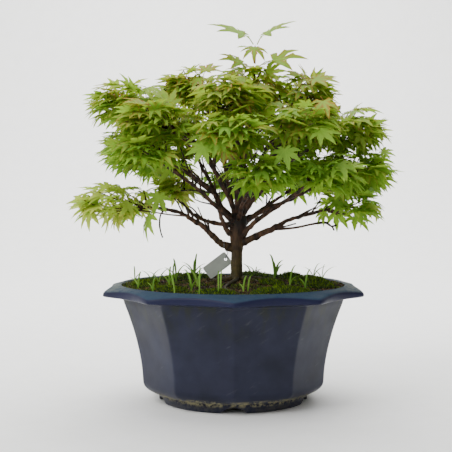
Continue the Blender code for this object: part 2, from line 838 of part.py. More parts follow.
LEAF_LOBES = (
    # angle of the lobe's tip from the leaf's own axis in degrees, length as a share of the leaf
    (-128, 0.34),
    (-84, 0.62),
    (-40, 0.88),
    (0, 1.00),
    (40, 0.88),
    (84, 0.62),
    (128, 0.34),
)
LEAF_THICKNESS = 0.0008
PETIOLE_RADIUS = 0.0006

TOP_LEAVES = {
    # name: stalk's foot, stalk's end, direction of the blade, up side of the blade, blade length
    "leaf_top_left": (
        (0.0265, -0.004, 0.4690),
        (0.0140, -0.006, 0.4790),
        (-1.0, -0.15, 0.22),
        (0.15, -0.25, 1.0),
        0.046,
    ),
    "leaf_top_right": (
        (0.0315, -0.004, 0.4690),
        (0.0450, -0.002, 0.4795),
        (1.0, 0.20, 0.42),
        (-0.35, -0.2, 1.0),
        0.042,
    ),
    "leaf_top_front": (
        (0.0290, -0.0075, 0.4650),
        (0.0285, -0.016, 0.4700),
        (0.05, -1.0, -0.35),
        (0.0, -0.45, 1.0),
        0.040,
    ),
    "leaf_top_back": (
        (0.0290, 0.0035, 0.4650),
        (0.0295, 0.012, 0.4690),
        (-0.1, 1.0, -0.25),
        (0.0, 0.35, 1.0),
        0.040,
    ),
}


def leaf_blade(base, forward, upward, length):
    """A flat lobed blade of even thickness, from the end of its stalk."""
    side = forward.cross(upward).normalized()
    tips = [(math.radians(angle), share) for angle, share in LEAF_LOBES]
    outline = [(math.pi, 0.03)]
    for i, (angle, share) in enumerate(tips):
        outline.append((angle - 0.18, 0.62 * share))
        outline.append((angle, share))
        outline.append((angle + 0.18, 0.62 * share))
        if i + 1 < len(tips):
            middle = 0.5 * (angle + tips[i + 1][0])
            outline.append((middle, 0.27))
    builder = bmesh.new()
    layers = []
    for lift in (-0.5, 0.5):
        layers.append(
            [
                builder.verts.new(
                    base
                    + length * share * (forward * math.cos(angle) + side * math.sin(angle))
                    + upward * (lift * LEAF_THICKNESS)
                )
                for angle, share in outline
            ]
        )
    low, high = layers
    builder.faces.new(list(reversed(low)))
    builder.faces.new(high)
    count = len(outline)
    for i in range(count):
        j = (i + 1) % count
        builder.faces.new((low[i], low[j], high[j], high[i]))
    return builder


def make_top_leaf(name, foot, end, forward, upward, length):
    """One whole leaf: its stalk and its blade."""
    foot, end = Vector(foot), Vector(end)
    forward = Vector(forward).normalized()
    upward = Vector(upward)
    upward = (upward - forward * upward.dot(forward)).normalized()
    into_blade = end + forward * 0.004
    stalk = [(*p, PETIOLE_RADIUS) for p in (foot, foot.lerp(end, 0.5), end, into_blade)]
    fuse(name, [leaf_blade(end, forward, upward, length), tube(stalk, steps=1, sides=6)], "maple_leaf")


APEX_SHOOT = [
    # the young shoot above the crown, which carries the top leaves
    (0.0285, -0.003, 0.4440, 0.0013),
    (0.0290, -0.003, 0.4560, 0.0011),
    (0.0290, -0.003, 0.4670, 0.0009),
]


def make_apex_shoot():
    """The green-red shoot standing on the top spray."""
    node_from("apex_shoot", tube(APEX_SHOOT, steps=1), "bark")


# ---------------------------------------------------------------- grass and seedlings

TUFTS = {
    # name: place (x, y), then each blade's (height, lean along x, lean along y, width)
    "grass_left_edge": (
        (-0.122, -0.052),
        ((0.022, 0.004, -0.002, 0.0030), (0.014, -0.012, 0.004, 0.0022)),
    ),
    "grass_left": (
        (-0.084, -0.022),
        ((0.026, 0.002, 0.002, 0.0032), (0.018, 0.014, -0.004, 0.0024), (0.016, -0.014, 0.0, 0.0022)),
    ),
    "grass_left_front": (
        (-0.052, -0.098),
        ((0.028, -0.010, 0.002, 0.0034), (0.016, 0.010, -0.004, 0.0022)),
    ),
    "grass_left_back": (
        (-0.078, 0.040),
        ((0.032, -0.004, 0.0, 0.0036), (0.024, 0.016, 0.004, 0.0030), (0.018, -0.016, 0.004, 0.0024)),
    ),
    "grass_middle_left": (
        (-0.046, -0.050),
        ((0.024, -0.014, 0.0, 0.0028), (0.020, 0.012, -0.004, 0.0026)),
    ),
    "grass_beside_label": (
        (-0.052, 0.030),
        ((0.038, 0.003, 0.0, 0.0036), (0.026, -0.018, 0.002, 0.0030), (0.020, 0.018, 0.004, 0.0028)),
    ),
    "grass_front": (
        (-0.016, -0.092),
        ((0.026, 0.001, 0.0, 0.0024), (0.010, 0.006, -0.004, 0.0018)),
    ),
    "grass_front_right": (
        (0.012, -0.104),
        ((0.020, 0.004, 0.0, 0.0030), (0.010, -0.006, 0.003, 0.0020)),
    ),
    "grass_right": (
        (0.026, 0.052),
        ((0.020, -0.014, 0.0, 0.0026), (0.012, 0.014, 0.003, 0.0022), (0.010, -0.006, -0.006, 0.0020)),
    ),
    "grass_broad": (
        (0.057, 0.036),
        ((0.034, -0.007, 0.0, 0.0042), (0.026, 0.013, 0.002, 0.0044)),
    ),
    "grass_right_edge": (
        (0.072, -0.056),
        ((0.028, 0.008, 0.0, 0.0030), (0.014, 0.012, 0.0, 0.0018)),
    ),
    "grass_far_right": (
        (0.112, 0.058),
        ((0.024, 0.010, 0.0, 0.0018), (0.018, -0.014, 0.0, 0.0018), (0.020, 0.020, -0.004, 0.0026)),
    ),
}
BLADE_STEPS = 4


def resting_height(x, y):
    """Top of whatever lies at (x, y): the soil, or the moss cushion over it."""
    height = ground(x, y) + 2 * GAP
    for px, py, half_x, half_y, turn_deg, lift in MOSS_PATCHES.values():
        lean = math.radians(turn_deg)
        u = ((x - px) * math.cos(lean) + (y - py) * math.sin(lean)) / half_x
        v = ((y - py) * math.cos(lean) - (x - px) * math.sin(lean)) / half_y
        if math.hypot(u, v) < 1.15:
            height = ground(x, y) + lift + 0.0012 + 3 * GAP
    return height


def blade(base, height, lean_x, lean_y, width):
    """One keeled grass blade, three-cornered in section, that arches over and ends in a point."""
    builder = bmesh.new()
    across = Vector((1.0, 0.2, 0.0)).normalized()
    rings = []
    for k in range(BLADE_STEPS):
        share = k / BLADE_STEPS
        middle = base + Vector((lean_x * share**1.8, lean_y * share**1.8, height * math.sin(share * 1.45)))
        half = 0.5 * width * (1 - 0.75 * share**2)
        keel = across.cross(Vector((0, 0, 1))) * 0.35 * half
        corners = (middle - across * half, middle + across * half, middle + keel * 1.6)
        rings.append([builder.verts.new(c) for c in corners])
    tip = builder.verts.new(base + Vector((lean_x, lean_y, height * math.sin(1.45))))
    skin_rings(builder, rings, caps=False)
    builder.faces.new(list(reversed(rings[0])))
    for i in range(3):
        builder.faces.new((rings[-1][i], rings[-1][(i + 1) % 3], tip))
    return builder


def make_tuft(name, place, blades):
    """A few blades fused at a small crown that stands on the soil or moss."""
    x, y = place
    base = Vector((x, y, resting_height(x, y)))
    crown = bmesh.new()
    bmesh.ops.create_cone(
        crown,
        cap_ends=True,
        segments=7,
        radius1=0.0021,
        radius2=0.0012,
        depth=0.0030,
        matrix=Matrix.Translation(base + Vector((0, 0, 0.0015))),
    )
    foot = base + Vector((0, 0, 0.0012))
    fuse(name, [crown, *(blade(foot, *sizes) for sizes in blades)], "grass")


# ---------------------------------------------------------------- name label

LABEL_LENGTH = 0.037
LABEL_WIDTH = 0.019
LABEL_THICKNESS = 0.0008
LABEL_LEAN = math.radians(37)  # its long side above the horizontal
LABEL_MIDDLE = Vector((-0.0208, 0.0105, 0.1762))
LABEL_HOLE_RADIUS = 0.0019
LABEL_HOLE_INSET = 0.0050
TAG_WIRE_RADIUS = 0.0005
HOOK_RADIUS = 0.0064


def label_point(along, across):
    """A point on the label's middle plane, from its middle."""
    return LABEL_MIDDLE + Vector(
        (
            along * math.cos(LABEL_LEAN) - across * math.sin(LABEL_LEAN),
            0.0,
            along * math.sin(LABEL_LEAN) + across * math.cos(LABEL_LEAN),
        )
    )


def make_label():
    """A blank plastic name label, leaning with one corner on the soil, with a hole for its wire."""
    builder = bmesh.new()
    bmesh.ops.create_cube(builder, size=1.0)
    bmesh.ops.scale(builder, verts=builder.verts, vec=(LABEL_LENGTH, LABEL_THICKNESS, LABEL_WIDTH))
    long_edges = [e for e in builder.edges if abs(e.verts[0].co.y - e.verts[1].co.y) > 1e-5]
    bmesh.ops.bevel(builder, geom=long_edges, offset=0.0025, segments=3, affect="EDGES", profile=0.5)
    turn = Matrix.Rotation(-LABEL_LEAN, 4, "Y")
    bmesh.ops.transform(builder, matrix=Matrix.Translation(LABEL_MIDDLE) @ turn, verts=builder.verts)
    label = node_from("label", builder, "label_plastic")
    cutter = bmesh.new()
    hole = label_point(LABEL_LENGTH / 2 - LABEL_HOLE_INSET, 0.0)
    bmesh.ops.create_cone(
        cutter,
        cap_ends=True,
        segments=16,
        radius1=LABEL_HOLE_RADIUS,
        radius2=LABEL_HOLE_RADIUS,
        depth=0.01,
        matrix=Matrix.Translation(hole) @ Matrix.Rotation(math.pi / 2, 4, "X"),
    )
    boolean(label, "DIFFERENCE", as_helper(node_from("label_hole_cutter", cutter, "label_plastic")))


def make_label_wire():
    """The wire that hooks over the lowest left limb and passes through the label's hole."""
    hole = label_point(LABEL_LENGTH / 2 - LABEL_HOLE_INSET, 0.0)
    limb = Vector((-0.0121, -0.001, 0.2045))  # the limb's middle where the hook crosses it
    hook = []
    for turn in (math.radians(a) for a in (-40, 0, 40, 80, 120, 160, 190)):
        y, z = limb.y - HOOK_RADIUS * math.cos(turn), limb.z + HOOK_RADIUS * math.sin(turn)
        hook.append((limb.x, y, z, TAG_WIRE_RADIUS))
    drop = [
        (-0.0100, 0.0070, 0.1965),
        (-0.0068, 0.0086, 0.1938),
        (-0.0082, 0.0088, 0.1900),
        (hole.x, hole.y - 0.0018, hole.z + 0.0022),
        (hole.x, hole.y - 0.0011, hole.z),
        (hole.x, hole.y + 0.0011, hole.z),
        (hole.x, hole.y + 0.0018, hole.z + 0.0026),
    ]
    route = hook + [(*place, TAG_WIRE_RADIUS) for place in drop]
    node_from("label_wire", tube(route, steps=2, sides=6), "steel_wire")


# ---------------------------------------------------------------- the whole bonsai


def clear_scene():
    """Removes every object that the scene starts with."""
    for existing in list(bpy.data.objects):
        bpy.data.objects.remove(existing)


def main():
    """Builds every node."""
    clear_scene()
    make_pot()
    make_drainage_mesh()
    make_mesh_clip()
    make_soil()
    for name, sizes in MOSS_PATCHES.items():
        make_moss(name, *sizes)
    make_wood()
    make_apex_shoot()
    for name in SPRAYS:
        make_spray(name)
    for name, shape in TOP_LEAVES.items():
        make_top_leaf(name, *shape)
    for name, (place, blades) in TUFTS.items():
        make_tuft(name, place, blades)
    make_label()
    make_label_wire()


main()
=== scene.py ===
"""Looks of a maple bonsai: glazed pot, mossy soil, bark, leaves and grass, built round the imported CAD."""

import logging
import math
from dataclasses import dataclass, field
from enum import Enum
from typing import Any, Callable, Iterable, Sequence

import bmesh
import bpy
import numpy as np
from mathutils import Matrix, Vector


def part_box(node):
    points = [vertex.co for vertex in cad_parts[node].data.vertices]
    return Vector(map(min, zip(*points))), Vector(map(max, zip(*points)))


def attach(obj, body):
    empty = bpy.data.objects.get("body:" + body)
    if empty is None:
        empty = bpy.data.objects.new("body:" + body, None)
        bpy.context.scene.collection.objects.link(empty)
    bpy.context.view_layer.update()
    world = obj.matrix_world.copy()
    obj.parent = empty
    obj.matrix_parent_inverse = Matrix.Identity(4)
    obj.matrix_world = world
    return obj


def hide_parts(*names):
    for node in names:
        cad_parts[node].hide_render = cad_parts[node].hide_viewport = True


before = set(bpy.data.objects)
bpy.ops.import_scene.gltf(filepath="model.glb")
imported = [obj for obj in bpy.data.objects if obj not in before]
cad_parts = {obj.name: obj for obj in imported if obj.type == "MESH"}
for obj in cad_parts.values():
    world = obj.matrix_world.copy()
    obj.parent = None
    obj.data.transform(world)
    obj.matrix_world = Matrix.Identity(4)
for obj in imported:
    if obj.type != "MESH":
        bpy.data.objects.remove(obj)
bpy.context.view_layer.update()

LOG = logging.getLogger("bonsai")
BODY = "root"
GOLDEN_TURN = 2.39996
Row = Sequence[float]
Span = tuple[float, float]


class Slot(Enum):
    """Material slot names, one passed with each new piece."""

    GLAZE = "glaze"
    SOIL = "soil"
    MOSS = "moss"
    BARK = "bark"
    LEAF = "maple_leaf"
    GRASS = "grass"


# ---------------------------------------------------------------- node helpers


def linear(code: str) -> tuple[float, float, float, float]:
    """Turns a hex colour such as #22242F to linear red, green, blue and an alpha of 1."""
    channels = [int(code[i : i + 2], 16) / 255 for i in (1, 3, 5)]
    red, green, blue = (c / 12.92 if c <= 0.04045 else ((c + 0.055) / 1.055) ** 2.4 for c in channels)
    return red, green, blue, 1.0


def operator(kind: str) -> Callable[["Field", Any], "Field"]:
    """An operator of Field, which adds one Math node of a kind."""
    return lambda first, second: first.maths(kind, second)


class Field:
    """A node's output that takes part in formulas: each operator adds a Math node."""

    def __init__(self, nodes: "Nodes", socket: bpy.types.NodeSocket) -> None:
        """Wraps an output of the tree that nodes adds to."""
        self.nodes, self.socket = nodes, socket

    def maths(self, operation: str, *others: Any) -> "Field":
        """One Math node on this value and the others, which are numbers or fields."""
        return self.nodes.out("ShaderNodeMath", dict(enumerate((self, *others))), operation=operation)

    __add__ = operator("ADD")
    __sub__ = operator("SUBTRACT")
    __mul__ = operator("MULTIPLY")
    __truediv__ = operator("DIVIDE")
    __mod__ = operator("FLOORED_MODULO")

    def mask(
        self, low: float, high: float, to_low: float = 0.0, to_high: float = 1.0, ease: str = "SMOOTHSTEP"
    ) -> "Field":
        """Maps low to to_low and high to to_high, and holds the value beyond them."""
        inputs = {"Value": self, 1: low, 2: high, 3: to_low, 4: to_high}
        return self.nodes.out("ShaderNodeMapRange", inputs, interpolation_type=ease)


class Nodes:
    """Adds nodes to a shader, world or geometry tree."""

    def __init__(self, tree: bpy.types.NodeTree) -> None:
        """Takes the tree."""
        self.tree = tree

    def fill(self, node: bpy.types.Node, inputs: dict[int | str, Any]) -> None:
        """Gives a node's inputs their values, or links them to the fields that feed them."""
        for name, value in inputs.items():
            if isinstance(value, Field):
                self.tree.links.new(value.socket, node.inputs[name])
            else:
                node.inputs[name].default_value = value

    def add(self, kind: str, inputs: dict[int | str, Any] | None = None, **settings: Any) -> bpy.types.Node:
        """Adds a node.

        Args:
            kind: The node's type, such as ShaderNodeTexNoise.
            inputs: Socket name or index to a value, or to the field that feeds it.
            **settings: Properties of the node itself.

        Returns:
            The node.
        """
        node = self.tree.nodes.new(kind)
        for name, value in settings.items():
            setattr(node, name, value)
        self.fill(node, inputs or {})
        return node

    def out(self, kind: str, inputs: dict | None = None, socket: int | str = 0, **settings: Any) -> Field:
        """Adds a node as add does, and hands out one of its outputs."""
        return Field(self, self.add(kind, inputs, **settings).outputs[socket])


class MaterialTree(Nodes):
    """A new material's Principled tree, with the steps that the finishes share."""

    def __init__(self, name: str) -> None:
        """Makes the material."""
        self.material = bpy.data.materials.new(name)
        self.material.use_nodes = True
        super().__init__(self.material.node_tree)
        self.shader = self.tree.nodes["Principled BSDF"]
        self.where = self.out("ShaderNodeTexCoord", socket="Object")

    def axis(self, name: str, vector: Field | None = None) -> Field:
        """X, Y or Z of the place, or of another vector."""
        return self.out("ShaderNodeSeparateXYZ", {0: vector or self.where}, name)

    def noise(
        self, size_mm: float, detail: float = 4.0, rough: float = 0.55, vector: Field | None = None
    ) -> Field:
        """Noise from 0 to 1 with lumps of a size, at the place or at another vector."""
        inputs = {"Vector": vector or self.where, "Scale": 1000 / size_mm}
        return self.out("ShaderNodeTexNoise", {**inputs, "Detail": detail, "Roughness": rough})

    def scaled(self, factors: Row, vector: Field | None = None) -> Field:
        """The place, or another vector, with each axis scaled."""
        return self.out("ShaderNodeVectorMath", {0: vector or self.where, 1: factors}, operation="MULTIPLY")

    def attribute(self, name: str) -> Field:
        """A number stored on the mesh."""
        return self.out("ShaderNodeAttribute", socket="Fac", attribute_name=name)

    def mix(self, share: float | Field, below: Field, above: str | Field) -> Field:
        """Lays a share of one colour over another."""
        top = linear(above) if isinstance(above, str) else above
        return self.out("ShaderNodeMix", {0: share, 6: below, 7: top}, 2, data_type="RGBA")

    def ramp(self, value: Field, stops: dict[float, str]) -> Field:
        """The colour for a value, from stops of position and hex colour."""
        node = self.add("ShaderNodeValToRGB", {0: value})
        held = node.color_ramp.elements
        while len(held) < len(stops):
            held.new(0.5)
        for element, (position, code) in zip(held, stops.items()):
            element.position = position
            element.color = linear(code)
        return Field(self, node.outputs["Color"])

    def bump(self, height: Field, strength: float, depth_mm: float, under: Field | None = None) -> Field:
        """A normal that follows a height, over the normal under it if there is one."""
        inputs = {"Height": height, "Strength": strength, "Distance": depth_mm / 1000}
        if under:
            inputs["Normal"] = under
        return self.out("ShaderNodeBump", inputs)

    def feed(self, **inputs: Any) -> bpy.types.Material:
        """Feeds the Principled node, with _ for each space in an input's name, and hands out the material."""
        self.fill(self.shader, {name.replace("_", " "): value for name, value in inputs.items()})
        return self.material


class GeometryTree(Nodes):
    """A geometry node tree with named inputs, applied to one object at a time."""

    KINDS = {float: "Float", int: "Int", type(None): "Collection"}

    def __init__(self, name: str, **values: float | int | None) -> None:
        """Makes the tree and its interface, with a geometry and a material besides the inputs named.

        Args:
            name: The tree's name.
            **values: Input to its default, with _ for each space. None is for a collection.
        """
        super().__init__(bpy.data.node_groups.new(name, "GeometryNodeTree"))
        face = self.tree.interface
        face.new_socket("Geometry", in_out="INPUT", socket_type="NodeSocketGeometry")
        for key, value in values.items():
            kind = "NodeSocket" + self.KINDS[type(value)]
            made = face.new_socket(key.replace("_", " "), in_out="INPUT", socket_type=kind)
            if value is not None:
                made.default_value = value
        face.new_socket("Material", in_out="INPUT", socket_type="NodeSocketMaterial")
        face.new_socket("Geometry", in_out="OUTPUT", socket_type="NodeSocketGeometry")
        self.given = {s.name: Field(self, s) for s in self.add("NodeGroupInput").outputs if s.name}

    def read(self, name: str, kind: str = "FLOAT") -> Field:
        """Reads a named attribute, as the socket of its type."""
        node = self.add("GeometryNodeInputNamedAttribute", {"Name": name}, data_type=kind)
        return Field(self, next(s for s in node.outputs if s.enabled and s.name == "Attribute"))

    def chance(self, seed: Field, low: float | Field = 0.0, high: float | Field = 1.0) -> Field:
        """A random number for each point or instance."""
        return self.out("FunctionNodeRandomValue", {2: low, 3: high, "Seed": seed}, 1, data_type="FLOAT")

    def shapes(self) -> dict[str, Any]:
        """The inputs that make Instance on Points pick from the collection given."""
        inputs = {"Collection": self.given["Shapes"], "Separate Children": True, "Reset Children": True}
        return {"Instance": self.out("GeometryNodeCollectionInfo", inputs), "Pick Instance": True}

    def end(self, geometry: Field, smooth: bool = True) -> None:
        """Realizes the instances, shades them smooth or flat, and sets the material."""
        real = self.out("GeometryNodeRealizeInstances", {"Geometry": geometry})
        shaded = self.out("GeometryNodeSetShadeSmooth", {"Geometry": real, "Shade Smooth": smooth})
        dressed = self.out("GeometryNodeSetMaterial", {0: shaded, "Material": self.given["Material"]})
        self.add("NodeGroupOutput", {0: dressed})

    def apply(self, source: bpy.types.Object, name: str, **values: Any) -> bpy.types.Object:
        """Runs the tree on an object and keeps the result as a plain mesh.

        Args:
            source: The object that feeds the tree. It is removed.
            name: The name of the object made.
            **values: Input values, with _ for each space in the input's name.

        Returns:
            The new object, at the origin.
        """
        modifier = source.modifiers.new("shape", "NODES")
        modifier.node_group = self.tree
        for item in self.tree.interface.items_tree:
            key = item.name.replace(" ", "_")
            if item.item_type == "SOCKET" and item.in_out == "INPUT" and key in values:
                modifier[item.identifier] = values[key]
        bpy.context.view_layer.update()
        graph = bpy.context.evaluated_depsgraph_get()
        mesh = bpy.data.meshes.new_from_object(source.evaluated_get(graph), depsgraph=graph)
        source.modifiers.clear()
        bpy.data.objects.remove(source)
        mesh.name = name
        return object_from(name, mesh)


# ---------------------------------------------------------------- mesh and frame helpers


def object_from(name: str, data: bpy.types.ID) -> bpy.types.Object:
    """Links a new object that holds a mesh, a light or a camera."""
    made = bpy.data.objects.new(name, data)
    bpy.context.scene.collection.objects.link(made)
    return made


def mesh_from(
    name: str,
    points: Sequence[Row],
    edges: Sequence[tuple[int, int]] = (),
    faces: Sequence[Sequence[int]] = (),
    attributes: dict[str, Sequence] | None = None,
) -> bpy.types.Mesh:
    """Makes a mesh with point attributes.

    Args:
        name: The mesh's name.
        points: Its vertices.
        edges: Loose edges.
        faces: Its faces.
        attributes: Name to one number, or one triple, for each vertex.

    Returns:
        The mesh.
    """
    mesh = bpy.data.meshes.new(name)
    mesh.from_pydata([tuple(p) for p in points], list(edges), [tuple(f) for f in faces])
    for key, values in (attributes or {}).items():
        flat = np.asarray(values, np.float32)
        kind, slot = ("FLOAT_VECTOR", "vector") if flat.ndim == 2 else ("FLOAT", "value")
        mesh.attributes.new(key, kind, "POINT").data.foreach_set(slot, flat.ravel())
    mesh.update()
    return mesh


def ring_faces(rings: int, around: int, closed: bool = False) -> list[tuple[int, int, int, int]]:
    """Faces between rings of points, one ring after the other.

    Args:
        rings: How many rings.
        around: Points in each ring.
        closed: Whether the last ring also joins the first.

    Returns:
        The faces.
    """
    faces = []
    for j in range(rings if closed else rings - 1):
        low, high = j * around, (j + 1) % rings * around
        for i in range(around):
            k = (i + 1) % around
            faces.append((low + i, low + k, high + k, high + i))
    return faces


def outward(piece: bpy.types.Object) -> bpy.types.Object:
    """Turns the faces of a closed piece outwards."""
    shape = bmesh.new()
    shape.from_mesh(piece.data)
    bmesh.ops.recalc_face_normals(shape, faces=shape.faces)
    shape.to_mesh(piece.data)
    shape.free()
    return piece


def place(piece: bpy.types.Object, slot: Slot, *nodes: str) -> None:
    """Rides a piece on the frame and hides the CAD nodes that it stands for."""
    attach(piece, BODY)
    if nodes:
        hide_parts(*nodes)
    LOG.info("%s: %d faces", piece.name, len(piece.data.polygons))


def dress_node(name: str, material: bpy.types.Material) -> None:
    """Gives a CAD node that stays in view a better material."""
    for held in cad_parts[name].material_slots:
        held.material = material


def smooth_line(points: Sequence[Row], steps: int) -> list[tuple[float, ...]]:
    """Catmull-Rom points through the given ones, with so many steps for each stretch."""
    held = [points[0], *points, points[-1]]
    line = []
    for i in range(1, len(held) - 2):
        p = np.array(held[i - 1 : i + 3], float)
        for step in range(steps):
            t = step / steps
            curve = 2 * p[1] + (p[2] - p[0]) * t + (2 * p[0] - 5 * p[1] + 4 * p[2] - p[3]) * t**2
            line.append(tuple(0.5 * (curve + (3 * p[1] - p[0] - 3 * p[2] + p[3]) * t**3)))
    line.append(tuple(float(v) for v in points[-1]))
    return line


# ---------------------------------------------------------------- finishes


@dataclass(frozen=True)
class GlazedStoneware:
    """Dark blue glaze over stoneware, dipped and fired: a soft gloss, pooled colour and weathering."""

    deep: str = "#22242F"
    body: str = "#282A39"
    worn: str = "#2E3142"
    olive: str = "#2C3026"
    scuff: str = "#6E7276"
    # the lime crust's colour, made paler to make up for the shade under the body: partly painted light
    crust: str = "#A29C78"
    # deep navy of the lip's outer face: partly the glaze's colour, partly painted shade
    edge: str = "#1B1D38"
    lip: str = "#2C4056"
    lip_grey: str = "#6C726E"
    cloud_mm: float = 48.0
    speck_mm: float = 1.6
    stain_heights: Span = (0.085, 0.134)
    crust_top: Span = (0.0190, 0.0150)
    crust_foot: Span = (0.0060, 0.0100)
    rim_glaze_and_shade_heights: Span = (0.1395, 0.1410)
    top_heights: Span = (0.1425, 0.1445)
    front_depths: Span = (-0.120, -0.02)
    scuff_slant: float = 0.6
    stain_share: float = 0.65
    scuff_share: float = 0.13
    crust_share: float = 0.75
    gloss: float = 0.13

    def make(self) -> bpy.types.Material:
        """Builds the material."""
        made = MaterialTree("glazed_stoneware")
        level = made.axis("Z")
        up = made.axis("Z", made.out("ShaderNodeNewGeometry", socket="Normal"))
        colour = made.ramp(made.noise(self.cloud_mm), {0.30: self.deep, 0.50: self.body, 0.75: self.worn})
        # run-down stains under the lip
        stains = made.noise(14, vector=made.scaled((1, 1, 0.25))).mask(0.46, 0.66)
        colour = made.mix(stains * level.mask(*self.stain_heights) * self.stain_share, colour, self.olive)
        # pale scuffs and water marks, thin and slanting
        turned = {"Vector": made.where, "Angle": self.scuff_slant}
        slanted = made.out("ShaderNodeVectorRotate", turned, rotation_type="Y_AXIS")
        scuffs = made.noise(24, 6, 0.7, made.scaled((1, 1, 5.0), slanted)).mask(0.56, 0.68)
        scuffs *= made.noise(38, 2).mask(0.50, 0.62)
        colour = made.mix(scuffs * self.scuff_share, colour, self.scuff)
        # lime crust where the body turns in to the foot; its colour is made paler to make up for the shade there, so
        # it is partly painted light
        low = level.mask(*self.crust_top) * level.mask(*self.crust_foot, 0.10)
        crust = made.noise(7, 6, 0.75).mask(0.43, 0.58) * low
        colour = made.mix(crust * self.crust_share, colour, self.crust)
        # the lip: a bluer, darker band that is partly the glaze's own colour and partly painted shade on its outer
        # face, and a top that is bleached and dusty away from the front
        colour = made.mix(level.mask(*self.rim_glaze_and_shade_heights) * 0.8, colour, self.edge)
        top = up.mask(0.55, 0.85) * level.mask(*self.top_heights)
        colour = made.mix(top * 0.9, colour, self.lip)
        dust = made.noise(7, 5, 0.7).mask(0.28, 0.62) * made.axis("Y").mask(*self.front_depths, 0.08, 0.92)
        colour = made.mix(top * dust, colour, self.lip_grey)
        rough = made.noise(26, 2).mask(0.3, 0.7, 0.30, 0.42) + crust * 0.45 + top * 0.40
        fine = made.bump(made.noise(self.speck_mm, 3), 0.03, 0.3)
        rugged = made.bump(crust * made.noise(2.2, 5), 0.7, 1.2, fine)
        wavy = made.bump(made.noise(30, 1), 0.15, 1.5, rugged)
        made.feed(Base_Color=colour, Roughness=rough, Normal=wavy)
        return made.feed(IOR=1.45, Specular_IOR_Level=self.gloss)


@dataclass(frozen=True)
class SpeckledFinish:
    """A rough natural stuff whose colour wanders between three shades at a grain's size."""

    name: str
    shades: tuple[str, str, str]
    grain_mm: float
    roughness: float = 0.9
    bump_mm: float = 0.6
    stretch: tuple[float, float, float] = (1.0, 1.0, 1.0)
    tint_share: float = 0.0

    def make(self) -> bpy.types.Material:
        """Builds the material."""
        made = MaterialTree(self.name)
        shade = grain = made.noise(self.grain_mm, 5.0, 0.65, made.scaled(self.stretch))
        if self.tint_share:
            blend = {0: self.tint_share, 2: grain, 3: made.attribute("tint")}
            shade = made.out("ShaderNodeMix", blend, data_type="FLOAT")
        colour = made.ramp(shade, dict(zip((0.25, 0.5, 0.75), self.shades)))
        normal = made.bump(grain, 0.8, self.bump_mm)
        return made.feed(Base_Color=colour, Roughness=self.roughness, Specular_IOR_Level=0.25, Normal=normal)


@dataclass(frozen=True)
class MapleBark:
    """Young maple bark: smooth red-brown shoots over a grey-green lower trunk, with dark knots."""

    lower: tuple[str, str] = ("#2A2412", "#5A4E26")
    upper: tuple[str, str] = ("#241510", "#6A4A34")
    knot: str = "#100C0A"
    streak_mm: float = 5.0
    turning_heights: Span = (0.170, 0.225)

    def make(self) -> bpy.types.Material:
        """Builds the material."""
        made = MaterialTree("maple_bark")
        streak = made.noise(self.streak_mm, 6.0, 0.7, made.scaled((1, 1, 0.22))).mask(0.3, 0.7, ease="LINEAR")
        old, young = (made.ramp(streak, dict(zip((0.1, 0.9), pair))) for pair in (self.lower, self.upper))
        colour = made.mix(made.axis("Z").mask(*self.turning_heights, ease="LINEAR"), old, young)
        colour = made.mix(made.attribute("knot"), colour, self.knot)
        normal = made.bump(streak, 0.7, 0.8)
        return made.feed(Base_Color=colour, Roughness=0.68, Specular_IOR_Level=0.35, Normal=normal)


@dataclass(frozen=True)
class MapleLeaf:
    """A thin fresh maple leaf: light comes through it, veins are pale and young margins redden."""

    deep: str = "#467629"
    fresh: str = "#84AE42"
    # the young leaves' colour, made lighter partly as painted light for the low left pads
    young: str = "#C4D064"
    margin: str = "#B2643E"
    vein: str = "#A2BE4E"
    vein_share: float = 0.45
    glow: str = "#B0D830"
    glow_share: float = 0.45
    blotch_mm: float = 9.0

    def make(self) -> bpy.types.Material:
        """Builds the material."""
        made = MaterialTree("maple_leaf_blade")
        edge = made.attribute("edge")
        blend = {0: 0.3, 2: made.attribute("tint"), 3: made.noise(self.blotch_mm, 3.0, 0.5)}
        toned = made.out("ShaderNodeMix", blend, data_type="FLOAT")
        colour = made.ramp(toned, {0.18: self.deep, 0.55: self.fresh, 0.92: self.young})
        colour = made.mix(edge.mask(0.16, 0.0, ease="LINEAR") * self.vein_share, colour, self.vein)
        reddened = edge.mask(0.20, 0.90, ease="LINEAR") * made.attribute("young")
        colour = made.mix(reddened, colour, self.margin)
        normal = made.bump(edge, 0.35, 0.6)
        material = made.feed(Base_Color=colour, Roughness=0.60, Specular_IOR_Level=0.10, Normal=normal)
        through = made.out("ShaderNodeBsdfTranslucent", {"Color": made.mix(0.5, colour, self.glow)})
        front = Field(made, made.shader.outputs[0])
        both = made.out("ShaderNodeMixShader", {0: self.glow_share, 1: front, 2: through})
        made.fill(made.tree.nodes["Material Output"], {"Surface": both})
        return material


@dataclass(frozen=True)
class PlainSheen:
    """A man-made surface with faint scuffs: moulded plastic or drawn wire."""

    name: str
    colour: str
    scuffed: str
    roughness: float
    metallic: float = 0.0
    scuff_mm: float = 3.0

    def make(self) -> bpy.types.Material:
        """Builds the material."""
        made = MaterialTree(self.name)
        worn = made.noise(self.scuff_mm, 4.0, 0.6)
        rough = worn.mask(0.0, 1.0, self.roughness - 0.08, self.roughness + 0.12, "LINEAR")
        colour = made.ramp(worn, {0.35: self.colour, 0.7: self.scuffed})
        made.feed(Base_Color=colour, Roughness=rough, Metallic=self.metallic)
        return made.feed(Normal=made.bump(worn, 0.2, 0.3))


# ---------------------------------------------------------------- pot


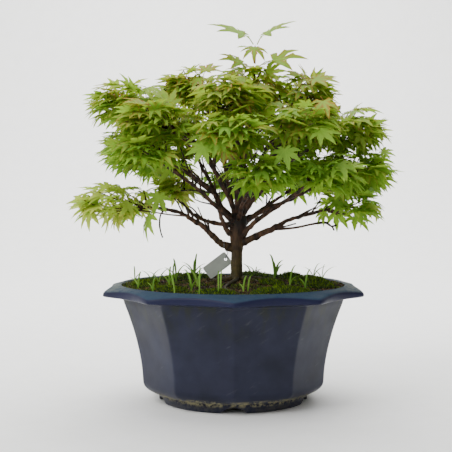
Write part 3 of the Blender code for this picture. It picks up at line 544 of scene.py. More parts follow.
@dataclass
class Pot:
    """The ten-sided glazed pot, with its scalloped lip and arched foot."""

    sides: int = 10
    ridge: float = 0.1504
    scallop: float = -0.88
    fall: float = 0.265
    top: float = 0.1538
    around: int = 480
    wall_foot: float = 0.0285
    wall_height: float = 0.1062
    wall_radius: float = 0.1236
    wall_flare: float = 0.0258
    wall_curve: float = 1.7
    wall_thickness: float = 0.0085
    corner_softness: float = 0.0012
    corner_cut: float = 0.15
    lip_width: float = 0.025
    lip_softness: float = 4.0
    foot_arches: int = 5
    arch_radius: float = 0.0218
    arch_height: float = 0.007
    foot_middle: float = 0.0925
    foot_ring: Span = (0.0862, 0.0995)
    foot_top: float = 0.0095
    finish: GlazedStoneware = field(default_factory=GlazedStoneware)

    def wall(self, height: float) -> float:
        """Corner radius of the outside at a height."""
        share = max((height - self.wall_foot) / self.wall_height, 0.0)
        return self.wall_radius + self.wall_flare * share**self.wall_curve

    def profile(self) -> list[tuple[float, ...]]:
        """The section as (corner radius, roundness, height at the ridge, fall beyond it) rows."""
        foot = [
            (0.0200, 1, 0.0105, 0), (0.0210, 1, 0.0095, 0), (0.0840, 1, 0.0095, 0), (0.0858, 1, 0.0086, 0),
            (0.0866, 1, 0.0018, 0), (0.0880, 1, 0.0, 0), (0.0964, 1, 0.0, 0), (0.0982, 1, 0.0010, 0),
            (0.0988, 1, 0.0030, 0), (0.0990, 1, 0.0102, 0), (0.1006, 0.97, 0.0119, 0),
            (0.1076, 0.8, 0.0131, 0), (0.1144, 0.45, 0.0163, 0), (0.1198, 0.17, 0.0209, 0), (0.1228, 0.03, 0.0258, 0),
        ]
        body = [(self.wall(z), 0, z, 0) for z in np.arange(0.032, 0.1345, 0.009)]
        under = [(0.1492, -0.02, 0.1352, 0), (0.1512, -0.15, 0.1368, 0), (0.1610, -0.5, 0.1384, 0)]
        edge = [(0.1738, 0.1404), (0.1772, 0.1407), (0.1784, 0.1420)]
        rounding = [(0.1785, 0.0042), (0.1781, 0.0022), (0.1766, 0.0008), (0.1740, 0.0001)]
        inner = [(0.1508, 0.0), (0.1490, 0.0004), (0.1474, 0.0020)]
        lip = [
            *under,
            *((radius, self.scallop, height, 0) for radius, height in edge),
            *((radius, self.scallop, self.top - drop, self.fall) for radius, drop in rounding),
            (0.1620, -0.1, self.top, self.fall),
            (0.1530, 0.8, self.top, self.fall),
            *((radius, 1, self.top - drop, 0) for radius, drop in inner),
        ]
        inside = [
            (0.1425, 0.62, 0.1435, 0),
            *((self.wall(z) - self.wall_thickness, 0.25, z, 0) for z in (0.135, 0.115, 0.085, 0.055, 0.032)),
            (0.0980, 0.9, 0.0175, 0),
            (0.0200, 1, 0.0175, 0),
        ]
        return smooth_line([*foot, *body, *lip], 4) + smooth_line(inside, 2)

    def tree(self) -> GeometryTree:
        """The rule that sets every point of the pot from its row and its azimuth."""
        made = GeometryTree(
            "pot_shape",
            Half_Side_Angle=math.pi / self.sides,
            Corner_Softness=self.corner_softness,
            Ridge_Radius=self.ridge,
            Arch_Step=math.tau / self.foot_arches,
            Arch_Radius=self.arch_radius,
            Arch_Rise=self.arch_height,
            Foot_Middle=self.foot_middle,
        )
        given = made.given
        corner, rounded, level = made.read("corner"), made.read("rounded"), made.read("level")
        turn, half, ridge = made.read("turn"), given["Half Side Angle"], given["Ridge Radius"]
        # the ten flat sides, with corners that soften over the lip
        out = ((corner - ridge) / self.lip_width).maths("MAXIMUM", 0.0).maths("MINIMUM", 1.0)
        soft = given["Corner Softness"] * out.maths("MULTIPLY_ADD", self.lip_softness, 1.0)
        local = turn % (half * 2.0) - half
        flat = corner * half.maths("COSINE") / local.maths("COSINE")
        flat = flat.maths("SMOOTH_MIN", corner - soft * self.corner_cut, soft)
        radius = rounded.maths("MULTIPLY_ADD", corner - flat, flat)
        height = level - made.read("fall") * (radius - ridge).maths("MAXIMUM", 0.0)
        # the arches cut through the foot
        step, arch = given["Arch Step"], given["Arch Radius"]
        across = ((turn + step * 0.5) % step - step * 0.5) * given["Foot Middle"]
        arc = (arch.maths("POWER", 2.0) - across.maths("POWER", 2.0)).maths("MAXIMUM", 0.0).maths("SQRT")
        lift = made.read("foot") * (arc - (arch - given["Arch Rise"]))
        east, north = radius * turn.maths("SINE"), radius * turn.maths("COSINE") * -1.0
        spot = made.out("ShaderNodeCombineXYZ", {0: east, 1: north, 2: height.maths("MAXIMUM", lift)})
        made.end(made.out("GeometryNodeSetPosition", {"Geometry": given["Geometry"], "Position": spot}))
        return made

    def build(self) -> None:
        """Builds and places the pot."""
        rows = self.profile()
        turns = np.tile(np.arange(self.around) * math.tau / self.around, len(rows))
        columns = (np.repeat(np.array(values, float), self.around) for values in zip(*rows))
        corner, rounded, level, fall = columns
        inner, outer = self.foot_ring
        foot = ((corner > inner) & (corner < outer) & (level < self.foot_top)).astype(float)
        faces = ring_faces(len(rows), self.around, closed=True)
        marks = {"corner": corner, "rounded": rounded, "level": level, "fall": fall}
        marks |= {"turn": turns, "foot": foot}
        spots = np.stack([np.sin(turns) * corner, -np.cos(turns) * corner, level], 1)
        grid = object_from("pot_grid", mesh_from("pot_grid", spots, faces=faces, attributes=marks))
        place(outward(self.tree().apply(grid, "glazed_pot", Material=self.finish.make())), Slot.GLAZE, "pot")


# ---------------------------------------------------------------- ground


@dataclass
class Ground:
    """The soil's surface, which all that grows stands on."""

    trunk_x: float = 0.0047
    edge_height: float = 0.1508
    mound: float = 0.0072
    reach: float = 0.070
    rim: float = 0.1504
    rim_width: float = 0.04
    swell: float = 0.0016
    swell_x: float = 0.045
    swell_y: float = 0.060

    def height(self, x: float, y: float) -> float:
        """Height of the soil at a place."""
        rise = self.mound * math.exp(-((math.hypot(x - self.trunk_x, y) / self.reach) ** 2))
        swell = self.swell * math.sin(x / self.swell_x) * math.cos(y / self.swell_y)
        edge = min(1.0, (self.rim - math.hypot(x, y)) / self.rim_width)
        return self.edge_height + rise + swell * max(edge, 0.0)


def scatter_tree() -> GeometryTree:
    """A tree that stands shapes on a surface at random, by density, tilt and size."""
    made = GeometryTree(
        "scatter", Shapes=None, Density=1000.0, Spacing=0.001, Tilt=0.5, Smallest=0.7, Largest=1.2, Seed=1
    )
    given = made.given
    seed, tilt = given["Seed"], given["Tilt"]
    inputs = {"Mesh": given["Geometry"], "Seed": seed}
    inputs |= {"Distance Min": given["Spacing"], "Density Max": given["Density"]}
    spots = made.add("GeometryNodeDistributePointsOnFaces", inputs, distribute_method="POISSON")
    full_turn = {"Max": (0.0, 0.0, math.tau), "Seed": seed}
    spin = made.out("FunctionNodeRandomValue", full_turn, data_type="FLOAT_VECTOR")
    tilts = [made.chance(seed + offset, tilt * -1.0, tilt) for offset in (11.0, 12.0)]
    lean = made.out("ShaderNodeCombineXYZ", {0: tilts[0], 1: tilts[1]})
    turned = Field(made, spots.outputs["Rotation"])
    for way in (spin, lean):
        inputs = {"Rotation": turned, "Rotate By": way}
        turned = made.out("FunctionNodeRotateRotation", inputs, rotation_space="LOCAL")
    inputs = {
        "Points": Field(made, spots.outputs["Points"]),
        **made.shapes(),
        "Instance Index": made.out("FunctionNodeRandomValue", {4: 0, 5: 7, "Seed": seed}, 2, data_type="INT"),
        "Rotation": turned,
        "Scale": made.chance(seed + 3.0, given["Smallest"], given["Largest"]),
    }
    stood = made.out("GeometryNodeInstanceOnPoints", inputs)
    inputs = {"Geometry": stood, "Name": "tint", "Value": made.chance(seed + 5.0)}
    stored = made.out("GeometryNodeStoreNamedAttribute", inputs, data_type="FLOAT", domain="INSTANCE")
    made.end(stored, smooth=False)
    return made


def shape_collection(name: str, meshes: Iterable[bpy.types.Mesh]) -> bpy.types.Collection:
    """Holds the shapes that a scatter picks from, out of the scene."""
    held = bpy.data.collections.new(name)
    for i, mesh in enumerate(meshes):
        held.objects.link(bpy.data.objects.new(f"{name}_{i}", mesh))
    return held


def frond(height: float, width: float, bend: float) -> bpy.types.Mesh:
    """One moss shoot: a three-sided spike with a kink, whose tip leans by bend."""
    points = []
    for level, share in ((0.0, 1.0), (0.55, 0.7)):
        for k in range(3):
            turn = math.tau * k / 3
            x = 0.5 * width * share * math.cos(turn) + bend * level**2
            points.append((x, 0.5 * width * share * math.sin(turn), height * level))
    points.append((bend, 0.0, height))
    faces = [(0, 1, 4, 3), (1, 2, 5, 4), (2, 0, 3, 5), (3, 4, 6), (4, 5, 6), (5, 3, 6), (2, 1, 0)]
    return mesh_from("frond", points, faces=faces)


def crumb(seed: int, size: float, flatness: float) -> bpy.types.Mesh:
    """One soil crumb or bark chip: a small knobbly stone shape."""
    shape = bmesh.new()
    bmesh.ops.create_icosphere(shape, subdivisions=1, radius=size)
    random = np.random.default_rng(seed)
    for vert in shape.verts:
        vert.co *= 1 + 0.35 * (random.random() - 0.5)
        vert.co.z *= flatness
    mesh = bpy.data.meshes.new("crumb")
    shape.to_mesh(mesh)
    shape.free()
    return mesh


MOSS = {
    # (x, y, half width along x, half width along y, turn in degrees, height) of each
    "moss_right": (0.104, -0.012, 0.03, 0.052, 8, 0.0085),
    "moss_front_right": (0.06, -0.098, 0.042, 0.026, 24, 0.005),
    "moss_front": (-0.022, -0.118, 0.028, 0.017, -10, 0.004),
    "moss_front_left": (-0.082, -0.08, 0.03, 0.02, -42, 0.005),
    "moss_left": (-0.116, -0.002, 0.02, 0.042, -4, 0.0055),
    "moss_back_left": (-0.064, 0.086, 0.044, 0.028, 30, 0.006),
    "moss_back": (0.028, 0.112, 0.034, 0.022, -8, 0.0065),
    "moss_back_right": (0.082, 0.074, 0.026, 0.02, -40, 0.0075),
    "moss_beside_trunk": (0.05, -0.034, 0.017, 0.02, 35, 0.004),
}


@dataclass
class GroundCover:
    """Soil, crumbs, moss cushions and the thin moss between them."""

    ground: Ground
    moss_finish: SpeckledFinish = SpeckledFinish(
        "moss_shoots", ("#22300A", "#42580F", "#6E8A1E"), 6.0, tint_share=0.5, bump_mm=0.2
    )
    soil_finish: SpeckledFinish = SpeckledFinish("potting_soil", ("#140E08", "#2A1E12", "#4C3A22"), 3.5)
    crumb_finish: SpeckledFinish = SpeckledFinish(
        "soil_crumbs", ("#160F08", "#382817", "#6A5434"), 5.0, tint_share=0.7
    )
    sheet_around: int = 90
    cushion_around: int = 40
    cushion_rings: int = 9
    cushion_lift: float = 0.0018
    cushion_foot: float = 0.0002
    cushion_drop: float = 0.0012

    def surface(self, name: str, radius: float, rings: int, lift: float, keep: Callable | None = None) -> Any:
        """An open sheet that follows the soil.

        Args:
            name: The sheet's name.
            radius: How far it reaches.
            rings: Rings of faces.
            lift: Height above the soil.
            keep: Given (x, y) of a face's middle, whether to keep it.

        Returns:
            The object.
        """
        around = self.sheet_around
        points = [(0.0, 0.0, self.ground.height(0, 0) + lift)]
        for j in range(1, rings + 1):
            for i in range(around):
                turn, reach = math.tau * i / around, radius * j / rings
                x, y = reach * math.sin(turn), -reach * math.cos(turn)
                points.append((x, y, self.ground.height(x, y) + lift))
        faces = [(0, 1 + i, 1 + (i + 1) % around) for i in range(around)]
        faces += [tuple(1 + f[corner] for corner in (0, 3, 2, 1)) for f in ring_faces(rings, around)]
        if keep:
            spots = np.array(points)
            faces = [f for f in faces if keep(*spots[list(f)].mean(0)[:2])]
        return object_from(name, mesh_from(name, points, faces=faces))

    def lump_spot(self, sizes: Row, share: float, turn: float, lift: float) -> tuple[float, float, float]:
        """A point of a cushion, at a share of its half widths, an angle and a height above the soil."""
        x, y, half_x, half_y, turn_deg, _ = sizes
        seed, lean = self.lump_seed(sizes), math.radians(turn_deg)
        reach = share * (0.90 + 0.06 * math.sin(3 * turn + seed) + 0.04 * math.sin(5 * turn + 2.3 * seed))
        u, v = reach * half_x * math.cos(turn), reach * half_y * math.sin(turn)
        px = x + u * math.cos(lean) - v * math.sin(lean)
        py = y + u * math.sin(lean) + v * math.cos(lean)
        return px, py, self.ground.height(px, py) + lift

    def lump_seed(self, sizes: Row) -> float:
        """The number that makes each cushion's outline its own."""
        return 40 * (7.0 * sizes[0] + 11.0 * sizes[1])

    def cushion(self, name: str, sizes: Row) -> bpy.types.Object:
        """One moss cushion, of a row in MOSS, as a fine closed lump on the soil."""
        around, rings = self.cushion_around, self.cushion_rings
        seed, height = self.lump_seed(sizes), sizes[-1]
        turns = [math.tau * i / around for i in range(around)]
        under = [k / rings for k in (4, rings)]
        rows = [[self.lump_spot(sizes, share, turn, self.cushion_foot) for turn in turns] for share in under]
        for k in range(rings, 0, -1):
            share = k / rings
            row = []
            for turn in turns:
                bump = 0.16 * math.sin(4 * turn + seed + 7 * share) + 0.12 * math.sin(9 * share + 2 * turn)
                rise = height * (1 - share**2.4) * (1 + bump * math.sin(math.pi * share)) - self.cushion_drop
                row.append(self.lump_spot(sizes, share, turn, self.cushion_lift + max(rise, 0.0)))
            rows.append(row)
        points = [p for row in rows for p in row]
        faces: list[tuple[int, ...]] = [*ring_faces(len(rows), around)]
        faces.append(tuple(range(around))[::-1])
        faces.append(tuple(range((len(rows) - 1) * around, len(rows) * around)))
        return outward(object_from(name + "_lump", mesh_from(name, points, faces=faces)))

    def build(self) -> None:
        """Builds and places the ground cover."""
        moss, crumbs = self.moss_finish.make(), self.crumb_finish.make()
        dress_node("soil", self.soil_finish.make())
        scatter = scatter_tree()
        sizes = ((0.0030, 0.0011, 0.0008), (0.0024, 0.0013, 0.0012), (0.0036, 0.0010, 0.0016))
        fronds = shape_collection("fronds", [frond(*size) for size in sizes] * 3)
        grains = [crumb(s, 0.0011, 0.6) for s in range(5)]
        stones = shape_collection("crumbs", grains + [crumb(9, 0.0019, 0.45)] * 3)
        shoots = {"Shapes": fronds, "Material": moss}
        for number, (name, row) in enumerate(MOSS.items()):
            lump = self.cushion(name, row)
            lump.data.materials.append(moss)
            hair = object_from(name + "_hair", lump.data.copy())
            thick = {"Density": 420000.0, "Spacing": 0.0011, "Tilt": 0.55, "Seed": number}
            hair = scatter.apply(hair, name + "_shoots", **shoots, **thick)
            place(join(name + "_cushion", [lump, hair]), Slot.MOSS, name)
        sheet = self.surface("crumb_sheet", 0.1482, 30, 0.0003)
        loose = {"Density": 110000.0, "Spacing": 0.0026, "Tilt": 1.2, "Seed": 21}
        place(scatter.apply(sheet, "soil_crumbs", Shapes=stones, Material=crumbs, **loose), Slot.SOIL)
        sheet = self.surface("film_sheet", 0.1488, 40, 0.0004, keep=mossy)
        sparse = {"Density": 160000.0, "Spacing": 0.0015, "Tilt": 0.8, "Seed": 33}
        sparse |= {"Smallest": 0.5, "Largest": 1.0}
        place(scatter.apply(sheet, "thin_moss", **shoots, **sparse), Slot.MOSS)


def mossy(x: float, y: float) -> bool:
    """Whether thin moss grows at a place."""
    wander = math.sin(x / 0.013 + 1.3 * math.sin(y / 0.017)) + math.sin(y / 0.011 + 1.7 * math.sin(x / 0.021))
    rim = min(max((math.hypot(x, y) - 0.118) / 0.02, 0.0), 1.0)
    return wander + 1.2 * rim - 0.45 > 0.0


def join(name: str, pieces: Sequence[bpy.types.Object]) -> bpy.types.Object:
    """Joins plain meshes that share a material into one object at the origin, and removes them."""
    shape = bmesh.new()
    for piece in pieces:
        shape.from_mesh(piece.data)
    material = pieces[0].data.materials[0]
    for piece in pieces:
        bpy.data.objects.remove(piece)
    mesh = bpy.data.meshes.new(name)
    shape.to_mesh(mesh)
    shape.free()
    mesh.materials.clear()
    mesh.materials.append(material)
    return object_from(name, mesh)


# ---------------------------------------------------------------- wood


def tube_tree(name: str, sides: int) -> GeometryTree:
    """A tree that skins lines into tubes of the thickness stored on them, with an uneven bark."""
    made = GeometryTree(name, Step=0.003, Ripple=0.0003, Ripple_Scale=260.0)
    given = made.given
    curve = made.out("GeometryNodeMeshToCurve", {"Mesh": given["Geometry"]})
    curve = made.out("GeometryNodeCurveSplineType", {"Curve": curve}, spline_type="CATMULL_ROM")
    curve = made.out("GeometryNodeResampleCurve", {"Curve": curve, "Length": given["Step"]}, mode="LENGTH")
    ring = made.out("GeometryNodeCurvePrimitiveCircle", {"Resolution": sides, "Radius": 1.0})
    inputs = {"Curve": curve, "Profile Curve": ring, "Scale": made.read("thick"), "Fill Caps": True}
    skin = made.out("GeometryNodeCurveToMesh", inputs)
    noise = made.out("ShaderNodeTexNoise", {"Scale": given["Ripple Scale"], "Detail": 2.0})
    inputs = {0: made.out("GeometryNodeInputNormal"), "Scale": (noise - 0.5) * given["Ripple"]}
    push = made.out("ShaderNodeVectorMath", inputs, operation="SCALE")
    made.end(made.out("GeometryNodeSetPosition", {"Geometry": skin, "Offset": push}))
    return made


def lines_object(name: str, lines: Sequence[Sequence[Row]]) -> bpy.types.Object:
    """Lines of (x, y, z, thickness, knot) points as one mesh of edges."""
    points, edges, thick, knot = [], [], [], []
    for line in lines:
        first = len(points)
        points += [spot[:3] for spot in line]
        thick += [spot[3] for spot in line]
        knot += [spot[4] if len(spot) > 4 else 0.0 for spot in line]
        edges += [(i - 1, i) for i in range(first + 1, len(points))]
    return object_from(name, mesh_from(name, points, edges, attributes={"thick": thick, "knot": knot}))


TRUNK = (
    # points (x, y, z, radius, knot), from the soil up
    (0.0047, 0.0, 0.15, 0.0096, 0.5), (0.0047, 0.0, 0.158, 0.0094, 0.35), (0.0047, 0.0, 0.164, 0.0083, 0.1),
    (0.0046, 0.0, 0.1745, 0.0076, 0.0), (0.0046, 0.0, 0.1775, 0.0081, 0.35),
    (0.0047, 0.0, 0.1805, 0.0075, 0.0), (0.0049, 0.0, 0.196, 0.0076, 0.0), (0.005, 0.0, 0.199, 0.0083, 0.4),
    (0.0051, 0.0, 0.206, 0.0088, 0.1), (0.0056, 0.0, 0.216, 0.0102, 0.25), (0.0062, 0.0, 0.226, 0.0112, 0.6),
    (0.0068, 0.0, 0.236, 0.0114, 0.95), (0.0072, 0.0, 0.245, 0.0095, 0.9), (0.0074, 0.0, 0.252, 0.006, 0.5),
)

LIMBS = {
    # CAD node of the spray that a limb bears: its points (x, y, z, radius)
    "leaves_low_left": (
        (0.001, 0.0, 0.1985, 0.0054), (-0.0158, -0.001, 0.2062, 0.0044), (-0.0273, -0.002, 0.2165, 0.0039),
        (-0.0393, -0.004, 0.2287, 0.0035), (-0.0566, -0.006, 0.2395, 0.0028),
        (-0.072, -0.008, 0.248, 0.0023),
    ),
    "leaves_low_left_inner": (
        (0.002, 0.004, 0.232, 0.0034), (-0.021, 0.008, 0.2325, 0.0028), (-0.045, 0.01, 0.2395, 0.0024),
        (-0.062, 0.01, 0.252, 0.002),
    ),
    "leaves_middle_left": (
        (0.001, -0.003, 0.214, 0.0038), (-0.012, -0.007, 0.23, 0.003), (-0.018, -0.009, 0.25, 0.0027),
        (-0.024, -0.01, 0.27, 0.003), (-0.04, -0.012, 0.285, 0.0024), (-0.066, -0.014, 0.303, 0.0019),
    ),
    "leaves_upper_left": (
        (0.001, 0.002, 0.24, 0.0032), (-0.014, 0.002, 0.254, 0.0026), (-0.026, 0.001, 0.278, 0.0023),
        (-0.039, 0.0, 0.303, 0.0021), (-0.06, -0.001, 0.338, 0.0017),
    ),
    "leaves_top_left": (
        (0.003, 0.002, 0.248, 0.0034), (-0.003, 0.003, 0.266, 0.0027), (-0.009, 0.003, 0.3, 0.0021),
        (-0.02, 0.003, 0.35, 0.0016),
    ),
    "leaves_top": (
        (0.007, 0.0, 0.248, 0.0042), (0.011, 0.0, 0.285, 0.0031), (0.017, -0.001, 0.33, 0.0023),
        (0.023, -0.003, 0.375, 0.0016),
    ),
    "leaves_upper_right": (
        (0.012, 0.002, 0.244, 0.004), (0.026, 0.003, 0.2635, 0.0032), (0.041, 0.003, 0.28, 0.0028),
        (0.068, 0.003, 0.31, 0.002),
    ),
    "leaves_top_right": (
        (0.01, 0.004, 0.246, 0.0034), (0.022, 0.008, 0.28, 0.0025), (0.04, 0.01, 0.325, 0.0018),
    ),
    "leaves_middle_right": (
        (0.012, 0.004, 0.236, 0.0036), (0.046, 0.008, 0.252, 0.0028), (0.077, 0.006, 0.265, 0.0023),
        (0.106, 0.002, 0.28, 0.0018),
    ),
    "leaves_middle_right_front": (
        (0.01, -0.003, 0.214, 0.004), (0.026, -0.014, 0.233, 0.0032), (0.048, -0.032, 0.25, 0.0026),
        (0.074, -0.058, 0.269, 0.002),
    ),
    "leaves_low_right": (
        (0.008, -0.001, 0.206, 0.0056), (0.027, -0.005, 0.214, 0.0045), (0.054, -0.01, 0.2268, 0.004),
        (0.07, -0.013, 0.236, 0.0026), (0.09, -0.02, 0.243, 0.002),
    ),
    "leaves_upper_right_front": (
        (0.01, -0.004, 0.242, 0.0032), (0.026, -0.024, 0.278, 0.0023), (0.044, -0.048, 0.316, 0.0017),
    ),
    "leaves_middle_front": (
        (0.007, -0.005, 0.236, 0.0034), (0.011, -0.032, 0.256, 0.0025), (0.018, -0.066, 0.273, 0.0019),
    ),
    "leaves_upper_front": (
        (0.006, -0.004, 0.244, 0.0032), (0.003, -0.03, 0.286, 0.0023), (0.0, -0.066, 0.318, 0.0017),
    ),
    "leaves_top_front": (
        (0.006, -0.002, 0.25, 0.003), (0.002, -0.018, 0.3, 0.0021), (-0.002, -0.042, 0.346, 0.0016),
    ),
    "leaves_middle_left_front": (
        (0.003, -0.004, 0.234, 0.0034), (-0.022, -0.026, 0.256, 0.0026), (-0.052, -0.054, 0.284, 0.0019),
    ),
    "leaves_upper_left_front": (
        (0.004, -0.003, 0.246, 0.0031), (-0.016, -0.024, 0.286, 0.0023), (-0.042, -0.048, 0.328, 0.0017),
    ),
    "leaves_middle_left_back": (
        (0.003, 0.004, 0.233, 0.0036), (-0.022, 0.028, 0.255, 0.0027), (-0.052, 0.054, 0.279, 0.002),
    ),
    "leaves_upper_left_back": (
        (0.004, 0.003, 0.246, 0.0032), (-0.016, 0.026, 0.29, 0.0023), (-0.04, 0.05, 0.332, 0.0017),
    ),
    "leaves_middle_back": (
        (0.007, 0.005, 0.23, 0.0036), (0.007, 0.036, 0.25, 0.0026), (0.007, 0.076, 0.268, 0.0019),
    ),
    "leaves_upper_back": (
        (0.007, 0.004, 0.244, 0.0031), (0.005, 0.034, 0.286, 0.0023), (0.002, 0.07, 0.316, 0.0017),
    ),
    "leaves_top_back": (
        (0.008, 0.002, 0.25, 0.003), (0.01, 0.018, 0.302, 0.0021), (0.011, 0.042, 0.35, 0.0016),
    ),
    "leaves_middle_right_back": (
        (0.01, 0.004, 0.228, 0.0038), (0.036, 0.03, 0.248, 0.0028), (0.066, 0.056, 0.268, 0.002),
    ),
    "leaves_upper_right_back": (
        (0.01, 0.003, 0.244, 0.0032), (0.026, 0.028, 0.282, 0.0023), (0.048, 0.052, 0.316, 0.0017),
    ),
}

TWIGS = {
    # dead or bare twigs: points (x, y, z, thickness, knot)
    "bare_right": (
        (0.052, -0.01, 0.2255, 0.0023, 0.5), (0.068, -0.012, 0.2262, 0.0018, 0.3),
        (0.085, -0.013, 0.2282, 0.0017, 0.2), (0.102, -0.014, 0.232, 0.0016, 0.3),
        (0.121, -0.014, 0.2345, 0.002, 0.8), (0.129, -0.015, 0.2296, 0.0014, 0.6),
        (0.136, -0.015, 0.2312, 0.0015, 0.8),
    ),
    "bare_right_spur": ((0.13, -0.015, 0.2296, 0.0013, 0.7), (0.133, -0.015, 0.224, 0.0012, 0.9)),
    "stub_right": (
        (0.056, -0.011, 0.227, 0.0017, 0.4), (0.07, -0.018, 0.23, 0.0012, 0.2),
        (0.082, -0.022, 0.2335, 0.0011, 0.7),
    ),
    "hanging_left": (
        (-0.092, -0.008, 0.25, 0.0014, 0.6), (-0.096, -0.012, 0.244, 0.001, 0.8),
        (-0.097, -0.012, 0.232, 0.0012, 0.7), (-0.0955, -0.013, 0.222, 0.0009, 0.9),
        (-0.093, -0.013, 0.2145, 0.001, 0.9),
    ),
    "snag_left": (
        (-0.022, -0.01, 0.273, 0.0026, 0.8), (-0.04, -0.018, 0.2755, 0.0013, 0.8),
        (-0.056, -0.022, 0.277, 0.0011, 0.9), (-0.07, -0.022, 0.2765, 0.0009, 0.9),
    ),
    "stub_middle": (
        (0.001, -0.004, 0.228, 0.0034, 0.2), (-0.004, -0.01, 0.23, 0.003, 0.3),
        (-0.007, -0.013, 0.229, 0.0022, 0.7),
    ),
    "upright_middle": ((0.0, -0.006, 0.246, 0.002, 0.3), (-0.004, -0.01, 0.27, 0.0015, 0.1)),
    "thin_left": (
        (-0.062, -0.007, 0.243, 0.0016, 0.2), (-0.085, -0.014, 0.245, 0.0011, 0.2),
        (-0.12, -0.02, 0.25, 0.001, 0.2), (-0.165, -0.024, 0.2495, 0.0007, 0.1),
    ),
}

ROOTS = (
    # surface roots: azimuth in degrees from the front, length, start radius
    (-4, 0.104, 0.0036),
    (50, 0.04, 0.0034),
    (100, 0.046, 0.0038),
    (165, 0.052, 0.0036),
    (225, 0.044, 0.0034),
    (290, 0.04, 0.0036),
)


@dataclass
class Wood:
    """Trunk, limbs, bare twigs and surface roots."""

    ground: Ground
    seed: int = 4
    first_gap: float = 0.006
    least_gap: float = 0.012
    more_gap: float = 0.020
    wander: float = 0.0004
    swelling: float = 1.25
    knot_dark: float = 0.85
    plain_dark: float = 0.05
    twig_least: float = 0.014
    twig_more: float = 0.034
    twig_wander: float = 0.0012
    taper: float = 0.8
    finish: MapleBark = field(default_factory=MapleBark)

    def knotted(self, limb: Sequence[Row], random: np.random.Generator) -> list[tuple[float, ...]]:
        """A limb's smooth line with dark swellings where side shoots once grew.

        Args:
            limb: Its points, each (x, y, z, radius).
            random: The wood's source of chance.

        Returns:
            The points, with thickness and knot.
        """
        line, since, gap = [], 0.0, self.first_gap
        for spot in smooth_line(limb, 6):
            since += math.dist(spot[:3], line[-1][:3]) if line else 0.0
            swollen = since > gap
            if swollen:
                since, gap = 0.0, self.least_gap + self.more_gap * random.random()
            wander = random.normal(0, self.wander, 3)
            x, y, z = (c + w for c, w in zip(spot[:3], wander))
            thick = spot[3] * (self.swelling if swollen else 1.0)
            line.append((x, y, z, thick, self.knot_dark if swollen else self.plain_dark))
        return line

    def side_twigs(self, limb: Sequence[tuple[float, ...]], random: np.random.Generator) -> Iterable[list]:
        """Yields short dark twigs, which stand on the outer half of a limb's knotted line."""
        for k in range(len(limb) // 3, len(limb) - 2, 2):
            along = (Vector(limb[k + 1][:3]) - Vector(limb[k][:3])).normalized()
            for _ in range(int(random.integers(0, 3))):
                aside = Vector(random.normal(0, 1, 3))
                aside.z = abs(aside.z) * 0.6
                way = (along * 1.3 + aside.normalized()).normalized()
                length = self.twig_least + self.twig_more * random.random()
                line = []
                for share in (0.0, 0.3, 0.65, 1.0):
                    wander = Vector(random.normal(0, self.twig_wander, 3)) * share
                    spot = Vector(limb[k][:3]) + way * length * share + wander
                    line.append((*spot, 0.0013 - 0.0006 * share, 0.75 if share in (0.3, 1.0) else 0.35))
                yield line

    def root(self, azimuth: float, length: float, radius: float) -> list[tuple[float, ...]]:
        """Points of one surface root.

        Args:
            azimuth: Degrees from the front.
            length: How far it runs.
            radius: Its radius at the trunk.

        Returns:
            The points, with thickness and knot.
        """
        line = []
        for share in (0.02, 0.1, 0.2, 0.32, 0.44, 0.58, 0.72, 0.86, 1.0):
            bend = math.radians(azimuth) + 0.16 * math.sin(4.2 * share + azimuth)
            x = self.ground.trunk_x + length * share * math.sin(bend)
            y = -length * share * math.cos(bend)
            thick = radius * (1 - 0.72 * share)
            line.append((x, y, self.ground.height(x, y) + 0.55 * thick, thick, 0.15 + 0.3 * share))
        return line

    def build(self, sprays: Sequence["Spray"]) -> bpy.types.Material:
        """Builds and places all the wood.

        Args:
            sprays: The leaf sprays, which say where their twigs run.

        Returns:
            The bark, for what else wears it.
        """
        bark = self.finish.make()
        random = np.random.default_rng(self.seed)
        pairs = zip(LIMBS.values(), sprays)
        limbs = [[*points, (*spray.entry, self.taper * points[-1][3])] for points, spray in pairs]
        limbs = [self.knotted(limb, random) for limb in limbs]
        side = [twig for limb in limbs for twig in self.side_twigs(limb, random)]
        thick = lines_object("limb_lines", [TRUNK, *limbs, *(self.root(*sizes) for sizes in ROOTS)])
        skin = {"Step": 0.0022, "Ripple": 0.0014, "Ripple_Scale": 240.0, "Material": bark}
        trunk = tube_tree("limb_skin", 14).apply(thick, "trunk_and_limbs", **skin)
        place(trunk, Slot.BARK, "trunk_and_branches")
        shoots = [line for spray in sprays for line in spray.twig_lines]
        thin = lines_object("twig_lines", [*TWIGS.values(), *side, *shoots])
        skin = {"Step": 0.0035, "Ripple": 0.0010, "Ripple_Scale": 420.0, "Material": bark}
        place(tube_tree("twig_skin", 6).apply(thin, "fine_twigs", **skin), Slot.BARK)
        return bark


# ---------------------------------------------------------------- leaves


